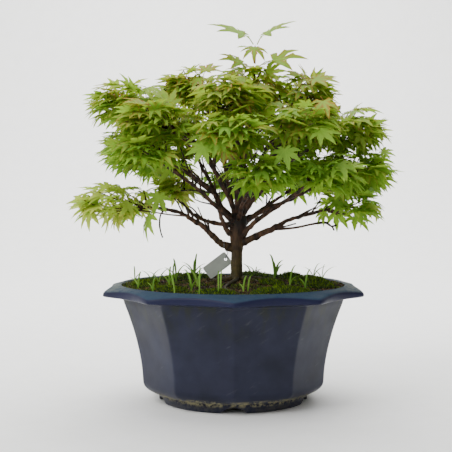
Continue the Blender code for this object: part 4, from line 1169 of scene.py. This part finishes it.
@dataclass(frozen=True)
class LeafShape:
    """One way for a maple leaf to hang: its lobes, its fold and its stalk."""

    stalk: float
    hang: float
    fold: float
    droop: float
    lobes: tuple[tuple[float, float], ...]
    skew: float = 0.0

    def blade_foot(self) -> Vector:
        """Where the stalk meets the blade."""
        return Vector((self.stalk * math.cos(0.5 * self.hang), 0, -self.stalk * 0.25 * math.sin(self.hang)))

    def tip(self) -> Vector:
        """The tip of the middle lobe."""
        return self.blade_foot() + Matrix.Rotation(self.hang, 3, "Y") @ Vector((1, 0, -self.droop))

    def mesh(self) -> bpy.types.Mesh:
        """The leaf and its stalk, with a blade 1 unit long.

        The stalk starts at the origin and runs along +X, and the blade's upper side faces +Z.
        """
        points: list[Vector] = [Vector((0, 0, 0))]
        edge = [0.0]
        faces: list[tuple[int, ...]] = []

        def add(angle: float, reach: float, side: float, marginal: float) -> int:
            """Adds a blade point at reach along a lobe, and side across it."""
            x = reach * math.cos(angle) - side * math.sin(angle)
            y = reach * math.sin(angle) + side * math.cos(angle)
            radius = math.hypot(x, y)
            z = self.fold * abs(side) * 1.6 - self.droop * radius**2
            points.append(Vector((x, y, z)))
            edge.append(marginal)
            return len(points) - 1

        tips = [(math.radians(a + self.skew), share) for a, share in self.lobes]
        sinuses = []
        for (a, la), (b, lb) in zip(tips, tips[1:]):
            sinuses.append(add(0.5 * (a + b), 0.33 * min(la, lb) + 0.06, 0.0, 0.9))
        outer = [add(tips[0][0] - 0.5, 0.12, 0.0, 0.9), add(tips[-1][0] + 0.5, 0.12, 0.0, 0.9)]
        for i, (angle, share) in enumerate(tips):
            right = sinuses[i - 1] if i else outer[0]
            left = sinuses[i] if i < len(sinuses) else outer[1]
            wide = 0.155 * share**0.55
            m1, m2 = add(angle, 0.36 * share, 0, 0), add(angle, 0.60 * share, 0, 0)
            m3, tip = add(angle, 0.80 * share, 0, 0.1), add(angle, share, 0, 1)
            for sign, sinus in ((-1, right), (1, left)):
                tooth = add(angle, 0.57 * share, sign * wide, 1)
                notch = add(angle, 0.63 * share, sign * wide * 0.66, 0.9)
                barb = add(angle, 0.78 * share, sign * wide * 0.52, 1)
                rim = [(0, m1, sinus), (m1, m2, tooth, sinus), (m2, notch, tooth)]
                rim += [(m2, m3, barb, notch), (m3, tip, barb)]
                faces += [f if sign < 0 else f[::-1] for f in rim]
        turn = Matrix.Rotation(self.hang, 4, "Y")
        shift = self.blade_foot()
        points = [turn @ p + shift for p in points]
        first = len(points)
        for share, thick in ((0.0, 0.017), (0.5, 0.013), (1.0, 0.012)):
            arch = 0.09 * self.stalk * math.sin(math.pi * share)
            middle = Vector((shift.x * share, 0, shift.z * share + arch))
            for k in range(3):
                angle = math.tau * k / 3
                points.append(middle + Vector((0, thick * math.cos(angle), thick * math.sin(angle))))
                edge.append(1.0)
        for j in range(2):
            for k in range(3):
                a, b = first + 3 * j + k, first + 3 * j + (k + 1) % 3
                faces.append((a, b, b + 3, a + 3))
        return mesh_from("maple_leaf_shape", points, faces=faces, attributes={"edge": edge})


SEVEN = ((-122, 0.34), (-80, 0.66), (-38, 0.90), (0, 1.0), (38, 0.90), (80, 0.66), (122, 0.34))
FIVE = ((-92, 0.50), (-42, 0.86), (0, 1.0), (42, 0.86), (92, 0.50))
NARROW = ((-112, 0.36), (-70, 0.70), (-33, 0.93), (0, 1.0), (33, 0.93), (70, 0.70), (112, 0.36))
LEAF_SHAPES = (
    LeafShape(0.50, 0.10, 0.22, 0.12, SEVEN),
    LeafShape(0.44, 0.22, 0.34, 0.22, SEVEN, 6),
    LeafShape(0.55, 0.00, 0.16, 0.08, SEVEN, -5),
    LeafShape(0.46, 0.34, 0.40, 0.18, FIVE),
    LeafShape(0.40, 0.95, 0.30, 0.34, NARROW, -8),
    LeafShape(0.52, 0.18, 0.20, 0.40, NARROW, 4),
    LeafShape(0.40, 0.55, 0.20, 0.16, SEVEN),
)
# how often a spray picks each shape
LEAF_WEIGHTS = (0.24, 0.18, 0.22, 0.10, 0.07, 0.15, 0.04)


def leaf_tree() -> GeometryTree:
    """A tree that stands the stored leaf on each point, turned and sized as the point says."""
    made = GeometryTree("leaves_on_twigs", Shapes=None, Leaf_Length=0.028)
    inputs = {
        "Points": made.out("GeometryNodeMeshToPoints", {"Mesh": made.given["Geometry"]}),
        **made.shapes(),
        "Instance Index": made.read("which"),
        "Rotation": made.out("FunctionNodeEulerToRotation", {0: made.read("turn", "FLOAT_VECTOR")}),
        "Scale": made.read("size") * made.given["Leaf Length"],
    }
    made.end(made.out("GeometryNodeInstanceOnPoints", inputs))
    return made


@dataclass
class Leaf:
    """Where one leaf is fixed and how it is turned."""

    spot: Vector
    forward: Vector
    upward: Vector
    size: float
    which: int
    tint: float
    young: float

    def euler(self) -> tuple[float, float, float]:
        """The turn that takes +X to forward and +Z towards upward."""
        forward = self.forward.normalized()
        side = self.upward.cross(forward).normalized()
        upward = forward.cross(side)
        turn = Matrix((forward, side, upward)).transposed().to_euler("XYZ")
        return turn.x, turn.y, turn.z


LEAVES_PER_TWIG = 4
# litres in an ellipsoid whose half widths are 1 m
ELLIPSOID_LITRES = 4188.8
# sprays with fewer leaves than their size asks for
SPARSE_SPRAYS = {"leaves_low_right": 0.6, "leaves_low_left": 0.8}


@dataclass
class Spray:
    """One spray of leaves: the twigs that leave its limb and the leaves on them."""

    node: str
    seed: int
    hub: Vector = field(default_factory=lambda: Vector((0.01, 0.0, 0.30)))
    leaf_length: float = 0.0265
    leaves_per_litre: float = 235.0
    entry_share: float = 0.72
    least_depth: float = 0.42
    more_depth: float = 0.55
    least_size: float = 0.78
    more_size: float = 0.42
    twig_lines: list = field(default_factory=list)
    leaves: list[Leaf] = field(default_factory=list)
    middle: Vector = field(init=False)
    half: Vector = field(init=False)
    entry: Vector = field(init=False)
    painted_light_lift: float = field(init=False)

    def __post_init__(self) -> None:
        """Reads the spray's room from the frame and grows it."""
        low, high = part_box(self.node)
        self.middle, self.half = (low + high) / 2, (high - low) / 2
        # painted light: the low left pads' leaves are tinted lighter and younger, to undo the shade that the crown
        # above casts on them
        self.painted_light_lift = 0.60 if self.node.startswith("leaves_low_left") else 0.0
        back = Vector(LIMBS[self.node][-1][:3]) - self.middle
        reach = 1 / math.sqrt(sum((back[k] / back.length / self.half[k]) ** 2 for k in range(3)))
        self.entry = self.middle + back.normalized() * min(reach * self.entry_share, back.length)
        self.grow()

    def grow(self) -> None:
        """Sets out the twigs and their leaves."""
        random = np.random.default_rng(self.seed)
        litres = ELLIPSOID_LITRES * self.half.x * self.half.y * self.half.z
        sparse = SPARSE_SPRAYS.get(self.node, 1.0)
        count = max(8, int(round(sparse * self.leaves_per_litre * litres**0.8 / LEAVES_PER_TWIG)))
        outward_way = Vector((self.middle.x - self.hub.x, self.middle.y - self.hub.y, 0))
        outward_way = outward_way.normalized() if outward_way.length > 0.02 else Vector((0, -0.3, 0))
        for k in range(count):
            polar = math.acos(1 - 2 * (k + 0.5) / count)
            turn = k * GOLDEN_TURN + self.seed
            flat, rise = math.sin(polar), math.cos(polar)
            way = Vector((flat * math.cos(turn), flat * math.sin(turn), rise))
            way = (way + outward_way * 0.25 + Vector((0, 0, 0.15))).normalized()
            depth = self.least_depth + self.more_depth * random.random()
            end = self.middle + Vector((way[i] * self.half[i] * depth for i in range(3)))
            self.add_twig(end, way, outward_way, random)

    def add_twig(self, end: Vector, way: Vector, outward_way: Vector, random: np.random.Generator) -> None:
        """Adds one twig and the two pairs of leaves near its end.

        Args:
            end: The twig's end.
            way: The direction that it grows in.
            outward_way: Away from the trunk, level.
            random: The spray's own source of chance.
        """
        start = self.entry
        bow = Vector(random.normal(0, 0.004, 3)) + Vector((0, 0, -0.10 * (end - start).length))
        middle = start.lerp(end, 0.55) + bow
        first = start + Vector(random.normal(0, 0.0015, 3))
        self.twig_lines.append([(*first, 0.0011, 0.1), (*middle, 0.0008, 0.1), (*end, 0.0005, 0.0)])
        spread = float(random.random() * math.tau)
        for pair in range(2):
            node = end if pair == 0 else middle.lerp(end, 0.45)
            for side in (0.0, math.pi):
                turn = spread + side + pair * math.pi / 2
                around = Vector((math.cos(turn), math.sin(turn), 0.12))
                away = way * 0.55 + outward_way * 0.35 + around * 0.75 + Vector(random.normal(0, 0.16, 3))
                away.z = 0.30 * away.z - 0.04 + float(random.normal(0, 0.14))
                level = Vector((away.x, away.y, 0)).normalized()
                upward = Vector((0, 0, 1)) + level * 0.10 + Vector(random.normal(0, 0.26, 3))
                size = self.least_size + self.more_size * random.random()
                spot = self.kept_inside(node, away.normalized() * size * self.leaf_length * 1.4)
                top = min(max((spot.z - 0.29) / 0.15, 0.0), 1.0)
                # leaves towards the spray's outside are tinted lighter and those inside darker: painted light and
                # painted shade
                painted_outer_light = (spot - self.middle).dot(outward_way) / max(self.half)
                # the low left pads' extra tint and youth here are painted light
                tint = 0.40 + 0.22 * top + 0.12 * painted_outer_light + self.painted_light_lift + float(random.normal(0, 0.15))
                young = max(0.0, 0.90 * top - 0.05 + 0.4 * self.painted_light_lift + float(random.normal(0, 0.26)))
                which = int(random.choice(len(LEAF_SHAPES), p=LEAF_WEIGHTS))
                self.leaves.append(Leaf(spot, away, upward, size, which, tint, min(young, 1.0)))

    def kept_inside(self, node: Vector, reach: Vector) -> Vector:
        """A leaf's foot, drawn in from its twig so that its tip stays close to the spray's own room."""
        tip = node + reach - self.middle
        room = (self.half.x + 0.010, self.half.y + 0.010, self.half.z + 0.013)
        over = math.sqrt(sum((tip[k] / room[k]) ** 2 for k in range(3)))
        if over <= 1.0:
            return node.copy()
        return node - tip * (1 - 1 / over)


def leaf_points(name: str, leaves: Sequence[Leaf]) -> bpy.types.Object:
    """One point for each leaf, with all that its leaf needs stored on it."""
    marks = {
        "turn": [leaf.euler() for leaf in leaves],
        "size": [leaf.size for leaf in leaves],
        "which": [leaf.which for leaf in leaves],
        "tint": [leaf.tint for leaf in leaves],
        "young": [leaf.young for leaf in leaves],
    }
    return object_from(name, mesh_from(name, [leaf.spot for leaf in leaves], attributes=marks))


APEX_LEAVES = {
    # CAD node: (foot, tip, up side, shape, tint, young) of its leaf
    # the low tints of the two top leaves are partly their own deep green and partly painted shade, to tone down the
    # strong light they get
    "leaf_top_left": ((0.0265, -0.004, 0.469), (-0.036, -0.012, 0.494), (0.3, -0.36, 1.0), 6, 0.34, 0.3),
    "leaf_top_right": ((0.0315, -0.004, 0.469), (0.085, -0.01, 0.499), (-0.35, -0.3, 1.0), 6, 0.34, 0.35),
    "leaf_top_front": ((0.029, -0.007, 0.468), (0.024, -0.04, 0.44), (0.0, -1.0, 0.55), 5, 0.5, 0.95),
    "leaf_top_back": ((0.029, 0.0035, 0.465), (0.02, 0.05, 0.47), (0.0, 0.45, 1.0), 0, 0.55, 0.6),
}


LOOSE_LEAVES = (
    # leaves that make the crown's outline, each row as above
    ((0.034, -0.008, 0.44), (0.098, -0.03, 0.446), (-0.2, -0.7, 1.0), 3, 0.6, 0.55),
    ((0.022, -0.01, 0.438), (-0.022, -0.034, 0.446), (0.1, -0.7, 1.0), 1, 0.55, 0.75),
    ((0.09, -0.02, 0.422), (0.138, -0.04, 0.414), (-0.1, -0.5, 1.0), 0, 0.62, 0.7),
    ((-0.132, -0.03, 0.412), (-0.182, -0.034, 0.411), (0.0, -0.25, 1.0), 2, 0.62, 0.7),
    ((-0.122, -0.04, 0.396), (-0.158, -0.046, 0.387), (0.0, -0.4, 1.0), 0, 0.58, 0.4),
    ((-0.128, -0.03, 0.386), (-0.177, -0.034, 0.356), (-0.3, -0.6, 1.0), 2, 0.55, 0.15),
    ((-0.128, -0.036, 0.348), (-0.162, -0.042, 0.32), (-0.4, -0.8, 0.8), 1, 0.52, 0.05),
    ((-0.136, -0.03, 0.325), (-0.167, -0.032, 0.301), (-0.4, -0.8, 0.8), 5, 0.5, 0.05),
    ((-0.074, -0.02, 0.306), (-0.11, -0.034, 0.298), (0.1, -1.0, 0.2), 3, 0.66, 0.1),
    ((-0.092, -0.03, 0.284), (-0.104, -0.04, 0.242), (-0.2, -1.0, 0.2), 0, 0.6, 0.1),
    ((-0.1, -0.026, 0.26), (-0.111, -0.036, 0.208), (-1.0, -0.45, 0.2), 5, 0.62, 0.05),
    ((-0.122, -0.026, 0.259), (-0.147, -0.036, 0.232), (-0.3, -0.9, 0.5), 1, 0.6, 0.1),
    ((-0.162, -0.02, 0.269), (-0.208, -0.026, 0.244), (-0.3, -0.6, 1.0), 2, 0.62, 0.45),
    ((0.163, -0.02, 0.35), (0.201, -0.034, 0.368), (-0.2, -1.0, 0.7), 3, 0.56, 0.35),
    ((0.186, -0.016, 0.33), (0.213, -0.022, 0.321), (0.1, -0.8, 0.9), 0, 0.6, 0.2),
    ((0.164, -0.02, 0.302), (0.199, -0.03, 0.277), (0.2, -0.9, 0.6), 1, 0.56, 0.1),
    ((0.158, -0.026, 0.261), (0.188, -0.034, 0.244), (0.2, -0.9, 0.6), 5, 0.56, 0.1),
    ((0.132, -0.056, 0.279), (0.136, -0.07, 0.245), (0.1, -1.0, 0.25), 0, 0.46, 0.05),
    ((-0.03, -0.15, 0.338), (-0.047, -0.168, 0.305), (-0.1, -1.0, 0.3), 0, 0.5, 0.05),
    ((0.104, -0.118, 0.39), (0.112, -0.146, 0.36), (0.1, -1.0, 0.35), 3, 0.8, 0.95),
    ((0.094, -0.126, 0.355), (0.12, -0.152, 0.33), (0.2, -1.0, 0.4), 0, 0.56, 0.1),
    ((0.124, -0.112, 0.316), (0.134, -0.142, 0.286), (0.2, -1.0, 0.35), 3, 0.56, 0.1),
    ((0.058, -0.136, 0.336), (0.064, -0.162, 0.299), (0.0, -1.0, 0.35), 0, 0.42, 0.05),
)


@dataclass
class Foliage:
    """Every leaf, spray by spray, and the apex shoot's own leaves."""

    finish: MapleLeaf = field(default_factory=MapleLeaf)
    leaf_length: float = 0.0265
    first_seed: int = 100
    sprays: list[Spray] = field(default_factory=list)

    def grow(self) -> list[Spray]:
        """Sets out the sprays."""
        self.sprays = [Spray(node, self.first_seed + index) for index, node in enumerate(LIMBS)]
        return self.sprays

    def build(self, bark: bpy.types.Material) -> None:
        """Builds and places the leaves, and gives the apex shoot its bark."""
        shapes = shape_collection("leaf_shapes", [shape.mesh() for shape in LEAF_SHAPES])
        wear = {"Shapes": shapes, "Leaf_Length": self.leaf_length, "Material": self.finish.make()}
        tree, size = leaf_tree(), self.leaf_length
        stands = [(spray.node + "_foliage", spray.leaves, (spray.node,)) for spray in self.sprays]
        stands += [(node + "_blade", [hand_placed(row, size)], (node,)) for node, row in APEX_LEAVES.items()]
        stands.append(("outline_leaves", [hand_placed(row, size) for row in LOOSE_LEAVES], ()))
        for name, leaves, nodes in stands:
            place(tree.apply(leaf_points(name + "_points", leaves), name, **wear), Slot.LEAF, *nodes)
        dress_node("apex_shoot", bark)


def hand_placed(row: Sequence, leaf_length: float) -> Leaf:
    """A leaf from a row of (foot, tip, up side, shape, tint, young) and the length of a blade of size 1."""
    foot, tip, upward, which, tint, young = row
    way = Vector(tip) - Vector(foot)
    side = Vector(upward).cross(way).normalized()
    end = LEAF_SHAPES[which].tip()
    droop = math.atan2(-end.z, end.x)
    forward = Matrix.Rotation(-droop, 3, side) @ way
    size = way.length / (end.length * leaf_length)
    return Leaf(Vector(foot), forward, way.cross(side), size, which, tint, young)


# ---------------------------------------------------------------- grass, label and drainage


TUFTS = {
    # CAD node: place (x, y), then each blade's (height, lean along x, lean along y, width)
    "grass_left_edge": ((-0.122, -0.052), (
        (0.022, 0.004, -0.002, 0.003), (0.014, -0.012, 0.004, 0.0022), (0.01, 0.008, -0.004, 0.0018),
    )),
    "grass_left": ((-0.084, -0.022), (
        (0.026, 0.002, 0.002, 0.0032), (0.018, 0.014, -0.004, 0.0024), (0.016, -0.014, 0.0, 0.0022),
    )),
    "grass_left_front": ((-0.052, -0.098), (
        (0.028, -0.01, 0.002, 0.0034), (0.016, 0.01, -0.004, 0.0022), (0.01, -0.004, -0.004, 0.002),
    )),
    "grass_left_back": ((-0.078, 0.04), (
        (0.032, -0.004, 0.0, 0.0036), (0.024, 0.016, 0.004, 0.003), (0.018, -0.016, 0.004, 0.0024),
    )),
    "grass_middle_left": ((-0.046, -0.05), (
        (0.024, -0.014, 0.0, 0.0028), (0.02, 0.012, -0.004, 0.0026), (0.014, 0.002, 0.003, 0.0022),
    )),
    "grass_beside_label": ((-0.052, 0.03), (
        (0.038, 0.003, 0.0, 0.0036), (0.026, -0.018, 0.002, 0.003), (0.02, 0.018, 0.004, 0.0028),
    )),
    "grass_front": ((-0.016, -0.092), ((0.026, 0.001, 0.0, 0.0024), (0.01, 0.006, -0.004, 0.0018))),
    "grass_front_right": ((0.012, -0.104), ((0.02, 0.004, 0.0, 0.003), (0.01, -0.006, 0.003, 0.002))),
    "grass_right": ((0.026, 0.052), (
        (0.02, -0.014, 0.0, 0.0026), (0.012, 0.014, 0.003, 0.0022), (0.01, -0.006, -0.006, 0.002),
    )),
    "grass_broad": ((0.057, 0.036), ((0.034, -0.007, 0.0, 0.0042), (0.026, 0.013, 0.002, 0.0044))),
    "grass_right_edge": ((0.072, -0.056), ((0.028, 0.008, 0.0, 0.003), (0.014, 0.012, 0.0, 0.0018))),
    "grass_far_right": ((0.112, 0.058), (
        (0.024, 0.01, 0.0, 0.0018), (0.018, -0.014, 0.0, 0.0018), (0.02, 0.02, -0.004, 0.0026),
    )),
}


STRAY_WEEDS = (
    # more plants, each row as above
    ((-0.1327, 0.018), ((0.024, -0.001, 0.0, 0.0022), (0.014, 0.008, 0.0, 0.0018))),
    ((-0.112, 0.034), (
        (0.02, 0.018, 0.002, 0.0022), (0.017, -0.014, 0.0, 0.002), (0.012, 0.01, -0.004, 0.0018),
    )),
    ((-0.1, 0.01), ((0.024, 0.02, -0.002, 0.0022), (0.018, -0.016, 0.002, 0.002))),
    ((-0.072, -0.118), ((0.033, -0.012, 0.0, 0.0024),)),
    ((-0.08, -0.009), ((0.03, 0.002, 0.0, 0.0028), (0.016, -0.014, 0.002, 0.002))),
    ((-0.056, 0.09), (
        (0.027, 0.002, 0.0, 0.0026), (0.022, 0.02, 0.0, 0.0028), (0.02, -0.018, 0.002, 0.0026),
        (0.014, 0.026, 0.002, 0.002), (0.013, -0.024, 0.0, 0.002),
    )),
    ((-0.0415, -0.128), ((0.0345, 0.001, 0.0, 0.0024),)),
    ((-0.0186, -0.128), ((0.029, 0.0, 0.002, 0.0022),)),
    ((-0.1, -0.095), ((0.0185, 0.003, 0.0, 0.0024), (0.012, -0.008, 0.0, 0.002))),
    ((0.0337, 0.125), (
        (0.017, -0.015, 0.0, 0.0024), (0.012, 0.01, 0.0, 0.0024), (0.015, 0.002, 0.002, 0.002),
    )),
    ((0.0618, 0.1), ((0.025, -0.004, 0.0, 0.0038), (0.02, 0.011, 0.0, 0.005))),
    ((0.0178, -0.096), ((0.02, 0.004, 0.0, 0.0026),)),
    ((0.0903, -0.074), ((0.027, 0.007, 0.0, 0.0028), (0.014, -0.008, 0.0, 0.002))),
    ((0.121, 0.027), ((0.022, 0.02, 0.0, 0.0022), (0.018, -0.014, 0.0, 0.0018), (0.025, 0.004, 0.0, 0.0012))),
)


@dataclass
class Grass:
    """Grass blades and seedlings that came up in the moss."""

    ground: Ground
    finish: SpeckledFinish = SpeckledFinish(
        "grass_blade", ("#4A7626", "#6E9C34", "#9ABC54"), 6.0, roughness=0.5, bump_mm=0.1, stretch=(1, 1, 0.2)
    )

    def blade(
        self, base: Vector, height: float, lean_x: float, lean_y: float, width: float
    ) -> tuple[list, list]:
        """One folded blade that arches over.

        Args:
            base: Where it leaves the soil.
            height: Its height.
            lean_x: How far its tip leans along X.
            lean_y: How far its tip leans along Y.
            width: Its width.

        Returns:
            Its points and its faces.
        """
        steps = 9
        across = Vector((1.0, 0.2, 0.0)).normalized()
        keel = Vector((0.2, -1.0, 0.0)).normalized()
        points, faces = [], []
        for k in range(steps + 1):
            share = k / steps
            bow = share**1.8
            middle = base + Vector((lean_x * bow, lean_y * bow, height * math.sin(share * 1.45)))
            half = 0.5 * width * (0.42 + 0.9 * share) * (1 - share) ** 0.6 + 0.00028
            points += [middle - across * half, middle + keel * half * 0.5, middle + across * half]
            if k:
                a = 3 * (k - 1)
                faces += [(a, a + 1, a + 4, a + 3), (a + 1, a + 2, a + 5, a + 4)]
        return points, faces

    def build(self) -> None:
        """Builds and places the tufts."""
        material = self.finish.make()
        for name, (spot, blades) in TUFTS.items():
            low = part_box(name)[0].z
            place(self.plants(name + "_blades", [(spot, blades)], material, low), Slot.GRASS, name)
        place(self.plants("stray_weeds", STRAY_WEEDS, material), Slot.GRASS)

    def plants(
        self, name: str, rows: Iterable[Sequence], material: bpy.types.Material, low: float | None = None
    ) -> bpy.types.Object:
        """Several plants as one object.

        Args:
            name: The object's name.
            rows: Each plant's place and blades.
            material: What the blades wear.
            low: Height of the blades' feet, or None for the soil's own height.

        Returns:
            The object.
        """
        points: list = []
        faces: list = []
        for (x, y), blades in rows:
            base = Vector((x, y, self.ground.height(x, y) if low is None else low))
            for sizes in blades:
                more, sides = self.blade(base, *sizes)
                faces += [tuple(i + len(points) for i in f) for f in sides]
                points += more
        mesh = mesh_from(name, points, faces=faces)
        mesh.shade_smooth()
        mesh.materials.append(material)
        return object_from(name, mesh)


def dress_trim() -> None:
    """Gives the label, the wires and the drainage screen their finishes."""
    label = PlainSheen("label_polypropylene", "#B6BCB4", "#C6CBC3", 0.45, scuff_mm=12.0).make()
    wire = PlainSheen("galvanised_wire", "#5E6264", "#8A8E90", 0.40, metallic=1.0, scuff_mm=2.0).make()
    screen = PlainSheen("screen_polyethylene", "#121214", "#26262A", 0.55).make()
    dress_node("label", label)
    dress_node("label_wire", wire)
    dress_node("mesh_clip", wire)
    dress_node("drainage_mesh", screen)


# ---------------------------------------------------------------- studio


@dataclass
class Studio:
    """Floor, lights and camera."""

    camera_x: float = -0.0095
    camera_y: float = -1.3088
    camera_z: float = 0.2765
    pitch: float = math.radians(2.06)
    lens: float = 78.37
    paper_sides: Span = (-2.2, 1.5)
    paper_front: float = -3.0
    paper_bend: float = 1.6
    paper_radius: float = 1.2
    paper_top: float = 4.0
    paper_drop: float = 0.0002

    def build(self) -> None:
        """Builds the studio."""
        scene = bpy.context.scene
        camera = object_from("camera", bpy.data.cameras.new("camera"))
        camera.data.lens = self.lens
        camera.data.sensor_width = 36.0
        camera.location = (self.camera_x, self.camera_y, self.camera_z)
        camera.rotation_euler = (math.pi / 2 - self.pitch, 0, 0)
        scene.camera = camera
        self.floor()
        self.light("key", (-1.5, -1.2, 1.8), (0.0, 0.0, 0.25), 1.5, 46.0)
        self.light("top", (0.2, 0.3, 2.2), (0.0, 0.0, 0.25), 1.8, 34.0)
        self.light("sweep", (0.0, 1.5, 2.4), (0.0, 2.7, 0.8), 2.4, 120.0)
        scene.world = self.sky()

    def sky(self) -> bpy.types.World:
        """Soft light from all round, brighter from the left."""
        world = bpy.data.worlds.new("studio")
        world.use_nodes = True
        nodes = Nodes(world.node_tree)
        way = nodes.out("ShaderNodeTexCoord", socket="Generated")
        share = nodes.out("ShaderNodeSeparateXYZ", {0: way}, "X").mask(-0.8, 0.8, 1.10, 0.30, "LINEAR")
        nodes.fill(nodes.tree.nodes["Background"], {"Color": (1.0, 1.0, 1.0, 1.0), "Strength": share})
        return world

    def floor(self) -> None:
        """A pale paper sweep under and behind the pot."""
        points, faces = [], []
        bend, radius = self.paper_bend, self.paper_radius
        line = [(y, 0.0) for y in np.linspace(self.paper_front, bend, 8)]
        for turn in np.linspace(0.1, math.pi / 2, 14):
            line.append((bend + radius * math.sin(turn), radius - radius * math.cos(turn)))
        line.append((bend + radius, self.paper_top))
        left, right = self.paper_sides
        for y, z in line:
            points += [(left, y, z - self.paper_drop), (right, y, z - self.paper_drop)]
        for k in range(len(line) - 1):
            faces.append((2 * k, 2 * k + 1, 2 * k + 3, 2 * k + 2))
        mesh = mesh_from("paper_sweep", points, faces=faces)
        mesh.shade_smooth()
        finish = SpeckledFinish("matt_paper", ("#F3F3F1", "#F6F6F4", "#F8F8F7"), 40.0, bump_mm=0.02)
        mesh.materials.append(finish.make())
        object_from("paper_sweep", mesh)

    def light(self, name: str, spot: Row, aim: Row, size: float, watts: float) -> None:
        """One large soft light, which hangs at spot and points at aim."""
        lamp = bpy.data.lights.new(name, "AREA")
        lamp.size = size
        lamp.energy = watts
        holder = object_from(name, lamp)
        holder.location = spot
        holder.rotation_euler = (Vector(aim) - Vector(spot)).to_track_quat("-Z", "Y").to_euler()


def main() -> None:
    """Builds every piece in order."""
    logging.basicConfig(level=logging.INFO, format="%(name)s %(message)s")
    ground = Ground()
    Studio().build()
    Pot().build()
    GroundCover(ground).build()
    foliage = Foliage()
    sprays = foliage.grow()
    bark = Wood(ground).build(sprays)
    foliage.build(bark)
    Grass(ground).build()
    dress_trim()


if __name__ == "__main__":
    main()
